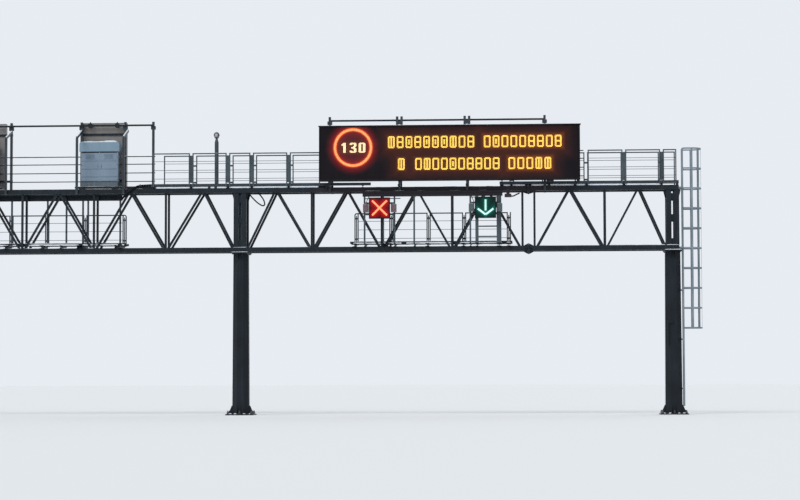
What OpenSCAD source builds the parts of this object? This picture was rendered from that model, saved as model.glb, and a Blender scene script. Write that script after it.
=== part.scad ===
// Overhead sign gantry over a dual carriageway: a box truss on three tapered poles,
// with a service walkway, a message sign, two lane signals and the backs of the signs
// for the other direction. Millimetres, +Z up, origin under the middle base plate.

/* [Supports] */
// Distance from the middle leg to each outer leg
leg_spacing = 15500; // [15000:50:16500]
// Width of the eight-sided leg across its flats at the foot
leg_foot_w = 600; // [520:10:700]
// Width of the leg across its flats at the head
leg_head_w = 540; // [480:10:600]
// Wall of the leg
leg_wall = 10; // [6:1:16]
// Height of the underside of the truss above the ground
clearance = 5850; // [5600:10:6400]
// Side of the square base plate
base_w = 1000; // [900:10:1200]
// Thickness of the base plate
base_t = 40; // [30:1:60]
// Distance between the anchor holes in the corners
anchor_pitch = 840; // [780:10:860]
// Diameter of an anchor hole
anchor_hole_d = 52; // [36:1:60]
// Height of the stiffening fins at the foot
fin_h = 300; // [150:10:450]
// Length of a fin's foot, away from the leg
fin_l = 140; // [100:5:150]
// Width of the head plate along the truss
head_plate_w = 640; // [600:10:760]
// Length of the head plate across the truss
head_plate_l = 950; // [880:10:1100]
// Thickness of the head plate
head_plate_t = 40; // [20:1:50]

/* [Truss] */
// Height of the truss over its chords
truss_h = 2310; // [2000:10:2600]
// Distance between the middles of the two truss sides
side_gap = 680; // [600:10:800]
// Side of the square chord tube
chord = 170; // [140:5:200]
// Length of a bay in the middle section, right of the middle leg
bay = 2520; // [2450:10:2560]
// Length of a bay in the middle section, left of the middle leg
left_bay = 2620; // [2500:10:2640]
// Distance from the middle of a leg to where its first bay starts
leg_node = 75; // [50:5:100]
// Length of the first bay beyond the splice
end_bay_first = 2510; // [2300:10:2550]
// Side of the square diagonal
diagonal_w = 75; // [50:5:90]
// Side of the heavier diagonal in the end sections
heavy_w = 100; // [80:5:120]
// Side of the square upright
upright_w = 75; // [50:5:90]
// Distance from the last bay of the middle section to the splice
splice_end = 215; // [180:10:300]
// Reach of a splice flange beyond the bottom chord's tube
flange_reach = 85; // [60:5:100]
// How far the chords run past the middle of the outer leg
end_run = 220; // [180:10:300]
// Width of one post of the pair over a leg
head_post_w = 180; // [140:2:200]
// Gap between the two posts of the pair
head_post_gap = 98; // [60:2:140]

/* [Walkways] */
// Height of the bearers between chord and deck
bearer_h = 65; // [50:5:120]
// Width of a bearer's flanges
bearer_w = 70; // [50:5:100]
// Height of the deck's edge beam
edge_h = 100; // [60:5:140]
// Distance between the bearers and railing joints
rail_pitch = 1335; // [1250:5:1400]
// Height of the top rail above the deck
rail_h = 1110; // [1000:5:1200]
// Gap between the end posts of two railing panels
joint_gap = 95; // [70:5:140]
// Side of the square railing tube
rail_w = 40; // [30:2:60]
// Thickness of a railing's thin bars
thin_rail = 16; // [10:1:25]
// Height of the lower walkway's edge
lower_edge_h = 80; // [50:5:100]
// Height of the lower walkway's bearers
lower_bearer_h = 110; // [60:5:130]
// Height of the lower walkway's railing, from the underside of its edge
lower_rail_h = 1160; // [1050:5:1250]

/* [Message sign] */
// Width of the message sign
sign_w = 9300; // [8500:10:9600]
// Height of the message sign
sign_h = 1955; // [1700:5:2200]
// Depth of the message sign
sign_d = 420; // [300:10:500]
// Place of the sign's left end, from the middle leg
sign_x = 2915; // [2800:5:3200]
// Gap between the top of the chord and the sign
sign_lift = 190; // [150:5:260]
// Height of the sign masts above the top chord
mast_h = 2530; // [2350:10:2700]
// Side of the square mast
mast_w = 85; // [70:5:100]
// Distance between the middles of two twin masts
twin_pitch = 160; // [150:5:200]

/* [Lane signals] */
// Side of the square signal face
signal_w = 730; // [700:5:780]
// Depth of the signal
signal_d = 240; // [180:10:300]

/* [Signs for the other direction] */
// Width of one sign
back_sign_w = 1690; // [1500:10:1900]
// Height of one sign
back_sign_h = 2410; // [2200:10:2450]
// Depth of one sign
back_sign_d = 200; // [140:10:260]
// Width of a cabinet's body
cabinet_w = 1360; // [1200:10:1440]
// Height of a cabinet's body
cabinet_h = 1280; // [1100:10:1400]
// Depth of a cabinet's body
cabinet_d = 280; // [220:10:290]
// Height of a cabinet's hood
hood_h = 340; // [200:10:400]

/* [Ladder] */
// Height of the ladder and cage above the deck
ladder_over = 1175; // [1050:5:1400]
// Distance from the end of the chords to the middle of the ladder
ladder_gap = 145; // [100:5:200]
// Distance between the two stiles
ladder_w = 450; // [400:10:520]
// Diameter of the safety cage
cage_d = 700; // [650:10:760]

/* [Hidden] */

steel = [0.22, 0.25, 0.28];
zinc = [0.45, 0.5, 0.53];
panel_grey = [0.42, 0.42, 0.42];
cabinet_blue = [0.55, 0.63, 0.7];

legs_x = [-leg_spacing, 0, leg_spacing];
leg_top = clearance - head_plate_t;
half_gap = side_gap / 2;
low_top = clearance + chord;
high_bottom = clearance + truss_h - chord;
high_top = clearance + truss_h;
low_mid = clearance + chord / 2;
high_mid = high_top - chord / 2;
right_nodes = [for (k = [1:4]) leg_node + k * bay];
left_nodes = [for (k = [1:4]) leg_node + k * left_bay];
right_splice = right_nodes[3] + splice_end;
left_splice = left_nodes[3] + splice_end;
chord_end = leg_spacing + end_run;
flange_t = 25;
rib_t = 15;
rib_l = 140;
flange_gap = 5;
outer_y = half_gap + chord / 2;
inner_y = half_gap - chord / 2;
head_pair_w = 2 * head_post_w + head_post_gap;
node_foot = 90;
leg_foot = head_pair_w / 2 + 50;
sink = 20;
deck_z = high_top + bearer_h;
deck_top = deck_z + edge_h;

// One bar with a square section between two points of a truss side
module bar(a, b, w) {
  run = b - a;
  translate([a[0], 0, a[1]])
    rotate([0, -atan2(run[1], run[0]), 0])
      translate([0, -w / 2, -w / 2])
        cube([norm(run), w, w]);
}

// A box given by its middle in x and y and its lowest z
module block(x, y, z, sx, sy, sz) {
  translate([x - sx / 2, y - sy / 2, z])
    cube([sx, sy, sz]);
}

// Both chords between two places along the truss
module chords(x0, x1) {
  for (z = [clearance, high_bottom])
    translate([x0, -chord / 2, z])
      cube([x1 - x0, chord, chord]);
}

// A pair of diagonals that rise from two feet to the middle of a bay
module bay_diagonals(x0, x1, foot0, foot1, w1 = diagonal_w) {
  mid = (x0 + x1) / 2;
  apart = 0.6 * diagonal_w;
  bar([x0 + foot0, low_top - sink], [mid - apart, high_bottom + sink], diagonal_w);
  bar([x1 - foot1, low_top - sink], [mid + apart, high_bottom + sink], w1);
}

// An upright between the chords
module upright(x) {
  block(x, 0, low_top - sink, upright_w, upright_w, high_bottom - low_top + 2 * sink);
}

// Half of the middle section of one truss side, from the middle leg to the splice
module half_middle(nodes, splice) {
  chords(0, splice - flange_t);
  ends = concat([0], nodes);
  for (i = [0:3]) {
    bay_diagonals(ends[i], ends[i + 1], i == 0 ? leg_foot : node_foot, node_foot);
    upright(ends[i + 1]);
  }
}

// The middle section of one truss side
module side_middle() {
  half_middle(right_nodes, right_splice);
  mirror([1, 0, 0]) half_middle(left_nodes, left_splice);
}

// Places of the uprights and of the leg in the end section beyond a splice
function end_nodes(splice) =
  [splice + splice_end, splice + splice_end + end_bay_first, leg_spacing];

// The end section of one truss side beyond a splice
module side_end(splice) {
  n = end_nodes(splice);
  chords(splice + flange_t, chord_end);
  bay_diagonals(n[0], n[1], node_foot, node_foot, heavy_w);
  bay_diagonals(n[1], n[2], node_foot, leg_foot);
  upright(n[0]);
  upright(n[1]);
}

module near_side_middle() {
  color(steel) translate([0, -half_gap, 0]) side_middle();
}

module far_side_middle() {
  color(steel) translate([0, half_gap, 0]) side_middle();
}

module near_side_right() {
  color(steel) translate([0, -half_gap, 0]) side_end(right_splice);
}

module far_side_right() {
  color(steel) translate([0, half_gap, 0]) side_end(right_splice);
}

module near_side_left() {
  color(steel) translate([0, -half_gap, 0]) mirror([1, 0, 0]) side_end(left_splice);
}

module far_side_left() {
  color(steel) translate([0, half_gap, 0]) mirror([1, 0, 0]) side_end(left_splice);
}

// Eight-sided pole with its flats facing along x and y
module pole(w_foot, w_head, z0, z1) {
  k = 1 / cos(22.5);
  translate([0, 0, z0])
    rotate([0, 0, 22.5])
      cylinder(h = z1 - z0, d1 = w_foot * k, d2 = w_head * k, $fn = 8);
}

module leg(x) {
  color(steel)
    translate([x, 0, 0])
      difference() {
        pole(leg_foot_w, leg_head_w, base_t, leg_top);
        pole(leg_foot_w - 2 * leg_wall, leg_head_w - 2 * leg_wall, base_t, leg_top);
      }
}

module left_leg() { leg(legs_x[0]); }
module middle_leg() { leg(legs_x[1]); }
module right_leg() { leg(legs_x[2]); }

module base_plates() {
  side = anchor_pitch / 2;
  color(steel)
    for (x = legs_x)
      translate([x, 0, 0]) difference() {
        block(0, 0, 0, base_w, base_w, base_t);
        for (i = [-1:1], j = [-1:1])
          if (i != 0 || j != 0)
            translate([i * side, j * side, -1])
              cylinder(h = base_t + 2, d = anchor_hole_d, $fn = 32);
      }
}

// Half the width of the leg at a height
function leg_half(z) = (leg_foot_w + (leg_head_w - leg_foot_w) * (z - base_t) / (leg_top - base_t)) / 2;

fin_t = 20;
fin_y = 110;
fin_gap = 0.2;

// A fin that stands on the base plate against a flat of the leg
module base_fin() {
  low = leg_half(base_t) + fin_gap;
  high = leg_half(base_t + fin_h) + fin_gap;
  translate([0, fin_t / 2, 0])
    rotate([90, 0, 0])
      linear_extrude(height = fin_t)
        polygon([[low, base_t], [low + fin_l, base_t], [low + fin_l, base_t + fin_t],
          [high + fin_t, base_t + fin_h], [high, base_t + fin_h]]);
}

// Pairs of fins that straddle the anchor holes between the corners
module base_fins() {
  color(steel)
    for (x = legs_x, a = [0:90:270], s = [-1, 1])
      translate([x, 0, 0]) rotate([0, 0, a]) translate([0, s * fin_y, 0]) base_fin();
}

head_rib_h = 250;
head_rib_t = 20;
head_rib_y = 85;

// A rib under the overhang of a head plate, against a flat of the leg
module head_rib() {
  high = leg_half(leg_top) + fin_gap;
  low = leg_half(leg_top - head_rib_h) + fin_gap;
  rotate([90, 0, 90])
    translate([0, 0, -head_rib_t / 2])
      linear_extrude(height = head_rib_t)
        polygon([[high, leg_top], [head_plate_l / 2 - head_rib_t, leg_top],
          [head_plate_l / 2 - head_rib_t, leg_top - head_rib_t],
          [low + head_rib_t, leg_top - head_rib_h], [low, leg_top - head_rib_h]]);
}

module head_plates() {
  color(steel)
    for (x = legs_x) {
      block(x, 0, leg_top, head_plate_w, head_plate_l, head_plate_t);
      for (a = [0, 180], s = [-1, 1])
        translate([x, 0, 0]) rotate([0, 0, a]) translate([s * head_rib_y, 0, 0]) head_rib();
    }
}

haunch_w = 60;
haunch_h = 250;
haunch_t = 12;
post_d = 120;
batten_h = 220;
batten_d = 60;

// A gusset in the corner between a post and the top chord
module haunch() {
  rotate([90, 0, 0])
    translate([0, 0, -haunch_t / 2])
      linear_extrude(height = haunch_t)
        polygon([[-1, high_bottom], [haunch_w, high_bottom], [haunch_w, high_bottom - haunch_t],
          [0, high_bottom - haunch_h], [-1, high_bottom - haunch_h]]);
}

// Paired posts over each leg, tied by battens, with gussets under the top chord
module leg_head_posts() {
  post_x = (head_post_w + head_post_gap) / 2;
  color(steel)
    for (x = legs_x, s = [-1, 1]) {
      for (t = [-1, 1])
        block(x + t * post_x, s * half_gap, low_top, head_post_w, post_d, high_bottom - low_top);
      for (z = [low_top + sink, (low_top + high_bottom - batten_h) / 2, high_bottom - batten_h - 120])
        block(x, s * half_gap, z, head_post_gap + 2, batten_d, batten_h);
      for (a = [0, 180])
        translate([x, s * half_gap, 0]) rotate([0, 0, a]) translate([head_pair_w / 2, 0, 0]) haunch();
    }
}

brace_foot = 75;
bracing_w = 50;
bracing_leg = 330;

// A flat brace in plan between the inner faces of two chords
module plan_brace(x0, x1, side) {
  y = inner_y * side;
  w = bracing_w / 2;
  translate([0, 0, low_mid - w])
    linear_extrude(height = bracing_w)
      polygon([[x0 - w, -y], [x0 + w, -y], [x1 + w, y], [x1 - w, y]]);
}

// Zigzag bracing between the bottom chords of half the gantry
module half_bracing(nodes, splice) {
  n = concat([0], nodes);
  e = end_nodes(splice);
  for (i = [0:3])
    plan_brace(n[i] + (i == 0 ? bracing_leg : brace_foot), n[i + 1] - brace_foot, pow(-1, i));
  plan_brace(e[0] + brace_foot, e[1] - brace_foot, 1);
  plan_brace(e[1] + brace_foot, e[2] - bracing_leg, -1);
}

module bottom_bracing() {
  color(steel) {
    half_bracing(right_nodes, right_splice);
    mirror([1, 0, 0]) half_bracing(left_nodes, left_splice);
  }
}

strut_side = 60;

// Square struts between the two truss sides of half the gantry
module half_struts(nodes, splice) {
  e = end_nodes(splice);
  for (x = concat(nodes, [e[0], e[1]]), z = [low_mid, high_mid])
    block(x, 0, z - strut_side / 2, strut_side, 2 * inner_y, strut_side);
}

module cross_struts() {
  color(steel) {
    half_struts(right_nodes, right_splice);
    mirror([1, 0, 0]) half_struts(left_nodes, left_splice);
  }
}

// A flange plate that faces +x, with a rib behind it on each face of the tube
module flange(reach) {
  h = chord / 2 + reach;
  cut = 60;
  translate([-flange_t, 0, 0]) rotate([90, 0, 90]) linear_extrude(height = flange_t)
    polygon([[cut - h, -h], [h - cut, -h], [h, cut - h], [h, h - cut],
      [h - cut, h], [cut - h, h], [-h, h - cut], [-h, cut - h]]);
  for (a = [0:90:270])
    rotate([a, 0, 0]) translate([-flange_t, rib_t / 2, 0]) rotate([90, 0, 0])
      linear_extrude(height = rib_t)
        polygon([[0, chord / 2], [0, h - 10], [-20, h - 10], [-rib_l, chord / 2 + 15], [-rib_l, chord / 2]]);
}

// The four flanges at one splice; those of the top chord stay below the deck
module flange_set(splice, turn) {
  for (s = [-1, 1], z = [low_mid, high_mid])
    translate([splice, s * half_gap, z])
      rotate([0, 0, turn])
        flange(z == low_mid ? flange_reach : bearer_h - flange_gap);
}

// Flanges on the middle section
module splice_flanges() {
  color(steel) {
    flange_set(right_splice, 0);
    flange_set(-left_splice, 180);
  }
}

// Flanges on the end sections, bolted to those of the middle section
module end_flanges() {
  color(steel) {
    flange_set(right_splice, 180);
    flange_set(-left_splice, 0);
  }
}

deck_gap_start = 3300;
edge_gap_start = 4730;
gap_end = 9345;
left_gap_end = 10700;
first_joint = 430;
landing_min = 300;
joint_count = floor((chord_end - first_joint - landing_min) / rail_pitch);
landing_x = first_joint + joint_count * rail_pitch;
deck_parts = [[-landing_x, -left_gap_end], [-deck_gap_start, deck_gap_start], [gap_end, landing_x]];
near_edges = [[-landing_x, -left_gap_end], [-deck_gap_start, edge_gap_start], [gap_end, landing_x]];
far_edges = [[-landing_x, -left_gap_end], [-edge_gap_start, deck_gap_start], [gap_end, landing_x]];

function joints() = [for (s = [-1, 1], k = [0:joint_count]) s * (first_joint + k * rail_pitch)];
function inside(x, p) = x > p[0] + 60 && x < p[1] - 60;

// Repeats its children turned half a turn about the middle leg
module both_ways() {
  children();
  rotate([0, 0, 180]) children();
}

// Repeats its children mirrored to the other end of the gantry
module both_ends() {
  children();
  mirror([1, 0, 0]) children();
}

bearer_over = 40;
bearer_t = 8;

// An I-section bearer that lies across, given by its middle
module i_bearer(x, y, z, w, h, l) {
  translate([x, y + l / 2, z])
    rotate([90, 0, 0])
      linear_extrude(height = l) {
        translate([-w / 2, 0]) square([w, bearer_t]);
        translate([-w / 2, h - bearer_t]) square([w, bearer_t]);
        translate([-bearer_t / 2, 0]) square([bearer_t, h]);
      }
}

module deck_bearers() {
  short_x = first_joint + 3 * rail_pitch;
  l = 2 * (outer_y + bearer_over);
  color(steel) {
    for (p = deck_parts, x = joints())
      if (inside(x, p) || abs(x) == landing_x && inside(sign(x) * (landing_x - 100), p))
        i_bearer(x, 0, high_top, bearer_w, bearer_h, l);
    both_ends()
      i_bearer(chord_end - bearer_w / 2, 0, high_top, bearer_w, bearer_h, l);
    both_ways()
      i_bearer(short_x, -half_gap, high_top, bearer_w, bearer_h, chord);
  }
}

edge_t = 8;
edge_foot = 50;
ledge = 45;
grate_t = 30;
grate_drop = 10;
ledge_z = deck_top - grate_drop - grate_t;
landing_w = 50;
landing_ledge = 20;

// Edge beam with a foot on the bearers and a ledge for the grating, along +x
module edge_beam(x0, x1) {
  translate([x0, 0, 0])
    rotate([90, 0, 90])
      linear_extrude(height = x1 - x0) {
        translate([-outer_y, deck_z]) square([edge_t, edge_h]);
        translate([-outer_y, deck_z]) square([edge_foot, edge_t]);
        translate([-outer_y, ledge_z - edge_t]) square([ledge, edge_t]);
      }
}

// Thinner frame at the ladder's end of the walkway, on four short feet
module landing_frame() {
  y = outer_y - landing_w / 2;
  z = deck_top - landing_w;
  l = chord_end - landing_x;
  for (s = [-1, 1]) {
    block((chord_end + landing_x) / 2, s * y, z, l, landing_w, landing_w);
    for (x = [landing_x + landing_w / 2, chord_end - landing_w / 2])
      block(x, s * y, deck_z, landing_w, landing_w, z - deck_z + 1);
    block((chord_end + landing_x) / 2, s * (y - landing_w / 2 - landing_ledge / 2), z,
      l, landing_ledge, ledge_z - z);
  }
  block(chord_end - landing_w / 2, 0, z, landing_w, 2 * y, landing_w);
}

module deck_edges() {
  color(steel) {
    for (p = near_edges) edge_beam(p[0], p[1]);
    for (p = far_edges) rotate([0, 0, 180]) edge_beam(-p[1], -p[0]);
    both_ends() landing_frame();
  }
}

grate_gap = 6;
grate_side = 4;
slot_pitch = 45;
slot_w = 37;
slot_end = 30;

// A grating panel with long slots between its bearing bars
module grate(x0, x1, half) {
  w = 2 * (half - grate_side);
  count = floor((w - slot_end) / slot_pitch);
  run = (x1 - x0 - grate_gap - 3 * slot_end) / 2;
  translate([0, 0, ledge_z]) difference() {
    block((x0 + x1) / 2, 0, 0, x1 - x0 - grate_gap, w, grate_t);
    for (k = [0:count - 1], m = [0, 1])
      translate([x0 + grate_gap / 2 + slot_end + m * (run + slot_end),
        (k - (count - 1) / 2) * slot_pitch - slot_w / 2, -1])
        cube([run, slot_w, grate_t + 2]);
  }
}

module deck_grating() {
  half = outer_y - edge_t;
  color(zinc) {
    for (p = deck_parts) {
      cuts = concat([p[0]], [for (k = [-joint_count:joint_count])
        let (x = sign(k) * (first_joint + (abs(k) - 1) * rail_pitch)) if (k != 0 && inside(x, p)) x], [p[1]]);
      for (i = [0:len(cuts) - 2]) grate(cuts[i], cuts[i + 1], half);
    }
    both_ends()
      grate(landing_x, chord_end - landing_w, outer_y - landing_w);
  }
}

bars = [180, 490, 810];
clamp_z = [90, 700];
clamp_h = 60;

// A railing panel between two places along the walkway
module panel(x0, x1, y, z0, h, heights) {
  for (x = [x0 + rail_w / 2, x1 - rail_w / 2])
    block(x, y, z0, rail_w, rail_w, h);
  block((x0 + x1) / 2, y, z0 + h - rail_w, x1 - x0, rail_w, rail_w);
  for (z = heights)
    block((x0 + x1) / 2, y, z0 + z - thin_rail / 2, x1 - x0 - rail_w, thin_rail, thin_rail);
}

rail_y = outer_y + rail_w / 2;
rail_run = 140;
rail_end = leg_spacing + rail_run;
rail_break = first_joint + 9 * rail_pitch + joint_gap / 2;
near_rail_parts = [[-rail_end, -left_gap_end], [-3150, 2900], [rail_break, rail_end]];
strut_joint = first_joint + 8 * rail_pitch;
far_rail_parts = [[-rail_end, -rail_break], [-2900, 3150], [gap_end + 55, strut_joint - 205],
  [strut_joint + joint_gap / 2, rail_end]];

// Panels between the joints along one side, tied by a pair of clamps at each joint
module railing(parts, y) {
  z = [for (b = bars) b + edge_h];
  for (p = parts) {
    cuts = concat([p[0] - joint_gap / 2],
      [for (k = [-joint_count - 1:joint_count + 1]) let (x = sign(k) * (first_joint + (abs(k) - 1) * rail_pitch))
        if (k != 0 && inside(x, p)) x],
      [p[1] + joint_gap / 2]);
    for (i = [0:len(cuts) - 2])
      panel(cuts[i] + joint_gap / 2, cuts[i + 1] - joint_gap / 2, y, deck_z, rail_h + edge_h, z);
    for (i = [1:1:len(cuts) - 2], c = clamp_z)
      block(cuts[i], y, deck_top + c, joint_gap, thin_rail, clamp_h);
  }
}

module near_railing() { color(steel) railing(near_rail_parts, -rail_y); }
module far_railing() { color(steel) railing(far_rail_parts, rail_y); }

lower_z = low_top + lower_bearer_h;
lower_parts = [[3970, 9790], [-9790, -4150]];
hanger_w = 60;
hanger_y = outer_y + 90;
deck_half = half_gap - 45;
lower_bars = [235, 550, 860];
lower_clamps = [185, 930];
right_posts = [4145, 5410, 6760, 8045, 9660];
left_posts = [4340, 5790, 7195, 8520, 9660];
post_gap = 75;
right_hangers = [[4511, 60], [5188, 30], [5585, 60], [6290, 60], [8299, 60], [8534, 115], [9321, 170]];
left_hangers = [[4515, 60], [5700, 60], [5890, 60], [6500, 60], [7195, 60], [8520, 60]];

// Service decks between the two truss sides, above the bottom chords
module lower_decks() {
  l = 2 * hanger_y + hanger_w;
  color(steel) {
    for (p = lower_parts) {
      for (s = [-1, 1])
        block((p[0] + p[1]) / 2, s * (deck_half - 20), lower_z, p[1] - p[0], 40, lower_edge_h);
      block((p[0] + p[1]) / 2, 0, lower_z + lower_edge_h / 2 - grate_t / 2, p[1] - p[0],
        2 * (deck_half - 40), grate_t);
    }
    for (x = concat(right_posts, -left_posts))
      i_bearer(x, 0, low_top, 140, lower_bearer_h, l);
    for (h = right_hangers)
      i_bearer(h[0], 0, low_top, h[1], lower_bearer_h, l);
    for (h = left_hangers)
      i_bearer(-h[0], 0, low_top, h[1], lower_bearer_h, l);
  }
}

bend_r = 90;

// Rounded corner where a top rail turns down into its end post
module rail_bend() {
  rotate([90, 0, 0])
    rotate_extrude(angle = 90, $fn = 48)
      translate([bend_r - rail_w, -rail_w / 2])
        square(rail_w);
}

// Railing along one lower deck: panels between paired posts, tied by clamps
module lower_railing(posts) {
  n = len(posts) - 1;
  pair = post_gap / 2 + rail_w / 2;
  for (i = [0:n - 1])
    panel(posts[i] + post_gap / 2, posts[i + 1] - post_gap / 2, rail_y, lower_z, lower_rail_h, lower_bars);
  for (i = [0:n], z = lower_clamps)
    block(posts[i], rail_y, lower_z + z, post_gap, thin_rail, clamp_h);
  block(posts[n] + pair, rail_y, lower_z, rail_w, rail_w, lower_rail_h);
  block(posts[0] - pair, rail_y, lower_z, rail_w, rail_w, lower_rail_h - bend_r);
  block(posts[0] - pair - rail_w / 2 + bend_r + pair / 2, rail_y, lower_z + lower_rail_h - rail_w,
    pair, rail_w, rail_w);
  translate([posts[0] - pair - rail_w / 2 + bend_r, rail_y, lower_z + lower_rail_h - bend_r])
    mirror([1, 0, 0]) rail_bend();
}

// Railings on the far side of both lower decks
module lower_railings() {
  color(steel) {
    lower_railing(right_posts);
    mirror([1, 0, 0]) lower_railing(left_posts);
  }
}

twin_x = [5765, 8190];
single_x = [3260, 10965];
back_mast_x = [-12150, -10400, -8546, -5943, -4330, -3300];
back_strut_x = [-10400, -8525, -5930, -4225];
far_strut_x = [single_x[0], twin_x[0], twin_x[1], single_x[1]];
end_arm = 175;
twin_gap = twin_pitch - mast_w;
mast_y = outer_y + mast_w / 2;
mast_front = outer_y + mast_w;
mast_top = high_top + mast_h;
strut_w = 80;
strut_y = outer_y + strut_w / 2;
strut_top = high_top + 1850;
brace_w = 60;
mast_rail_w = 30;
lift_rail_w = 60;
lift_drop = 130;
lift_rail_z = mast_top - lift_drop - lift_rail_w / 2;
head_batten = 120;
sign_z = high_top + sign_lift;
bracket_d = 60;
sign_back = -mast_front - bracket_d;
sign_front = sign_back - sign_d;
beam_w = 120;
beam_h = 200;
beam_top = high_bottom + 20;
beam_bottom = beam_top - beam_h;
stub_over = 400;

// Twin masts on one stub that stands on the chord's side, with a batten near the top
module twin_mast(x) {
  for (s = [-1, 1])
    block(x + s * twin_pitch / 2, -mast_y, sign_z + 50, mast_w, mast_w, mast_top - sign_z - 50);
  block(x, -mast_y, beam_top, twin_gap + 2, mast_w, sign_z + stub_over - beam_top);
  block(x, -mast_y, lift_rail_z - head_batten, twin_gap + 2, mast_w, head_batten);
}

// A mast with a wider head plate below its top, on one side of the truss
module single_mast(x, side) {
  block(x, side * mast_y, beam_top, mast_w, mast_w, mast_top - beam_top);
  block(x, side * mast_y, lift_rail_z - head_batten, 2 * mast_w, mast_w, head_batten);
}

// Masts on the side of the truss that carries the signs
module masts() {
  color(steel) {
    for (x = twin_x) twin_mast(x);
    for (x = single_x) single_mast(x, -1);
    for (x = back_mast_x) single_mast(x, 1);
  }
}

// Lower posts on the other side of the truss
module mast_struts() {
  color(steel) {
    for (x = far_strut_x)
      block(x, strut_y, high_bottom, strut_w, strut_w, strut_top - high_bottom);
    for (x = back_strut_x)
      block(x, -strut_y, high_bottom, strut_w, strut_w, strut_top - high_bottom);
  }
}

// A slanted brace from the top of a strut up to a mast, with level ends
module mast_brace(x, side) {
  high = lift_rail_z - head_batten;
  translate([x - brace_w / 2, 0, 0])
    rotate([90, 0, 90])
      linear_extrude(height = brace_w)
        polygon([[side * (outer_y + strut_w), strut_top], [side * (outer_y + strut_w), strut_top + brace_w],
          [-side * outer_y, high], [-side * outer_y, high - 1.5 * brace_w], [side * outer_y, strut_top]]);
}

module mast_braces() {
  color(steel) {
    for (x = single_x) mast_brace(x, 1);
    for (x = back_strut_x) mast_brace(x, -1);
  }
}

mast_rail_gap = 50;
mast_rail_from = single_x[0] - mast_w / 2;
mast_rail_to = rail_break - joint_gap - mast_rail_gap;

// Four bars along the masts of both spans, level with the bars of the railings
module mast_rails() {
  color(steel)
    both_ways()
      for (z = concat(bars, [rail_h - rail_w / 2]))
        translate([mast_rail_from, -outer_y, deck_top + z - mast_rail_w / 2])
          cube([mast_rail_to - mast_rail_from, mast_rail_w, mast_rail_w]);
}

hoist_x = [-5610, -4618];
hub_d = 180;
knob_d = 40;

// Trolley on a lifting rail, with an eye bolt on top
module trolley(x, y) {
  translate([x, y - 20, lift_rail_z + lift_rail_w / 2])
    rotate([-90, 0, 0])
      cylinder(h = lift_rail_w + 40, d = hub_d, $fn = 32);
  translate([x, y + lift_rail_w / 2, lift_rail_z + lift_rail_w / 2])
    cylinder(h = hub_d / 2 + knob_d, d = knob_d, $fn = 24);
}

// Rails along the inner faces of the masts for lifting gear
module lifting_rails() {
  color(steel) {
    translate([single_x[0] - mast_w / 2, -outer_y, lift_rail_z])
      cube([single_x[1] - single_x[0] + mast_w, lift_rail_w, lift_rail_w]);
    translate([back_mast_x[0] - mast_w / 2, outer_y - lift_rail_w, lift_rail_z])
      cube([back_mast_x[5] - back_mast_x[0] + mast_w, lift_rail_w, lift_rail_w]);
    for (x = hoist_x) trolley(x, outer_y - lift_rail_w);
  }
}

arm_w = 90;
arm_reach = 260;
post_over = 160;
clamp_w = 140;
clamp_t = 100;

// An arm under the sign, from the masts or the chord, with a post up to the sign
module sign_arm(x, y) {
  translate([x - arm_w / 2, sign_back - arm_reach, high_top])
    cube([arm_w, y - sign_back + arm_reach, bearer_h]);
  block(x, sign_back - arm_reach + post_over / 2, high_top + bearer_h, arm_w / 2, post_over,
    sign_lift - bearer_h);
}

// Clamps between masts and sign, and arms that carry the sign
module sign_brackets() {
  color(steel) {
    for (x = concat(twin_x, single_x)) {
      for (z = [sign_z + 200, sign_z + sign_h - 300])
        block(x, sign_back + bracket_d / 2, z, clamp_w, bracket_d, clamp_t);
      sign_arm(x, -mast_front);
    }
    sign_arm(sign_x + sign_w - end_arm, -inner_y);
    back_sign_channels();
  }
}

case_edge = 40;
case_recess = 60;
cap_over = 30;
cap_t = 12;
seam = 8;
seam_depth = 5;
door_count = 7;

// Closed housing with a recessed face, a rain cap, and seams of the doors on its back
module sign_housing() {
  door = sign_w / door_count;
  color([0.1, 0.1, 0.11])
    difference() {
      union() {
        translate([sign_x, sign_front, sign_z]) cube([sign_w, sign_d, sign_h]);
        translate([sign_x - cap_over, sign_front - cap_over, sign_z + sign_h])
          cube([sign_w + 2 * cap_over, sign_d + cap_over, cap_t]);
      }
      translate([sign_x + case_edge, sign_front - 1, sign_z + case_edge])
        cube([sign_w - 2 * case_edge, case_recess + 1, sign_h - 2 * case_edge]);
      for (i = [1:door_count - 1])
        translate([sign_x + i * door - seam / 2, sign_back - seam_depth, sign_z + case_edge])
          cube([seam, seam_depth + 1, sign_h - 2 * case_edge]);
      for (z = [sign_z + case_edge, sign_z + sign_h - case_edge - seam])
        translate([sign_x + case_edge, sign_back - seam_depth, z])
          cube([sign_w - 2 * case_edge, seam_depth + 1, seam]);
    }
}

module sign_face() {
  color([0.06, 0.05, 0.06])
    translate([sign_x + case_edge, sign_front + case_recess / 2, sign_z + case_edge])
      cube([sign_w - 2 * case_edge, case_recess / 2, sign_h - 2 * case_edge]);
}

signal_x = [5064, 8846];
signal_top = beam_bottom - 70;
signal_back = -hanger_y - hanger_w / 2;
hood_reach = 120;
hood_t = 12;
beam_parts = [[4440, 9450], [-9450, -4440]];
cross_z = [signal_top - 200, signal_top - 600];
stand_z = [6331, 6697];
stand_h = 45;
lamp_w = 195;
lamp_h = 290;
lamp_d = 150;
lamp_gap = 38;
lamp_drop = 213;

module signal_beams() {
  color(steel)
    for (p = beam_parts)
      difference() {
        block((p[0] + p[1]) / 2, -sign(p[0]) * (outer_y + beam_w / 2), beam_bottom,
          p[1] - p[0], beam_w, beam_h);
        block((p[0] + p[1]) / 2, -sign(p[0]) * (outer_y + beam_w - seam), beam_bottom + beam_h * 0.4,
          p[1] - p[0] + 2, 2 * seam + 2, beam_h * 0.2);
      }
}

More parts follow.
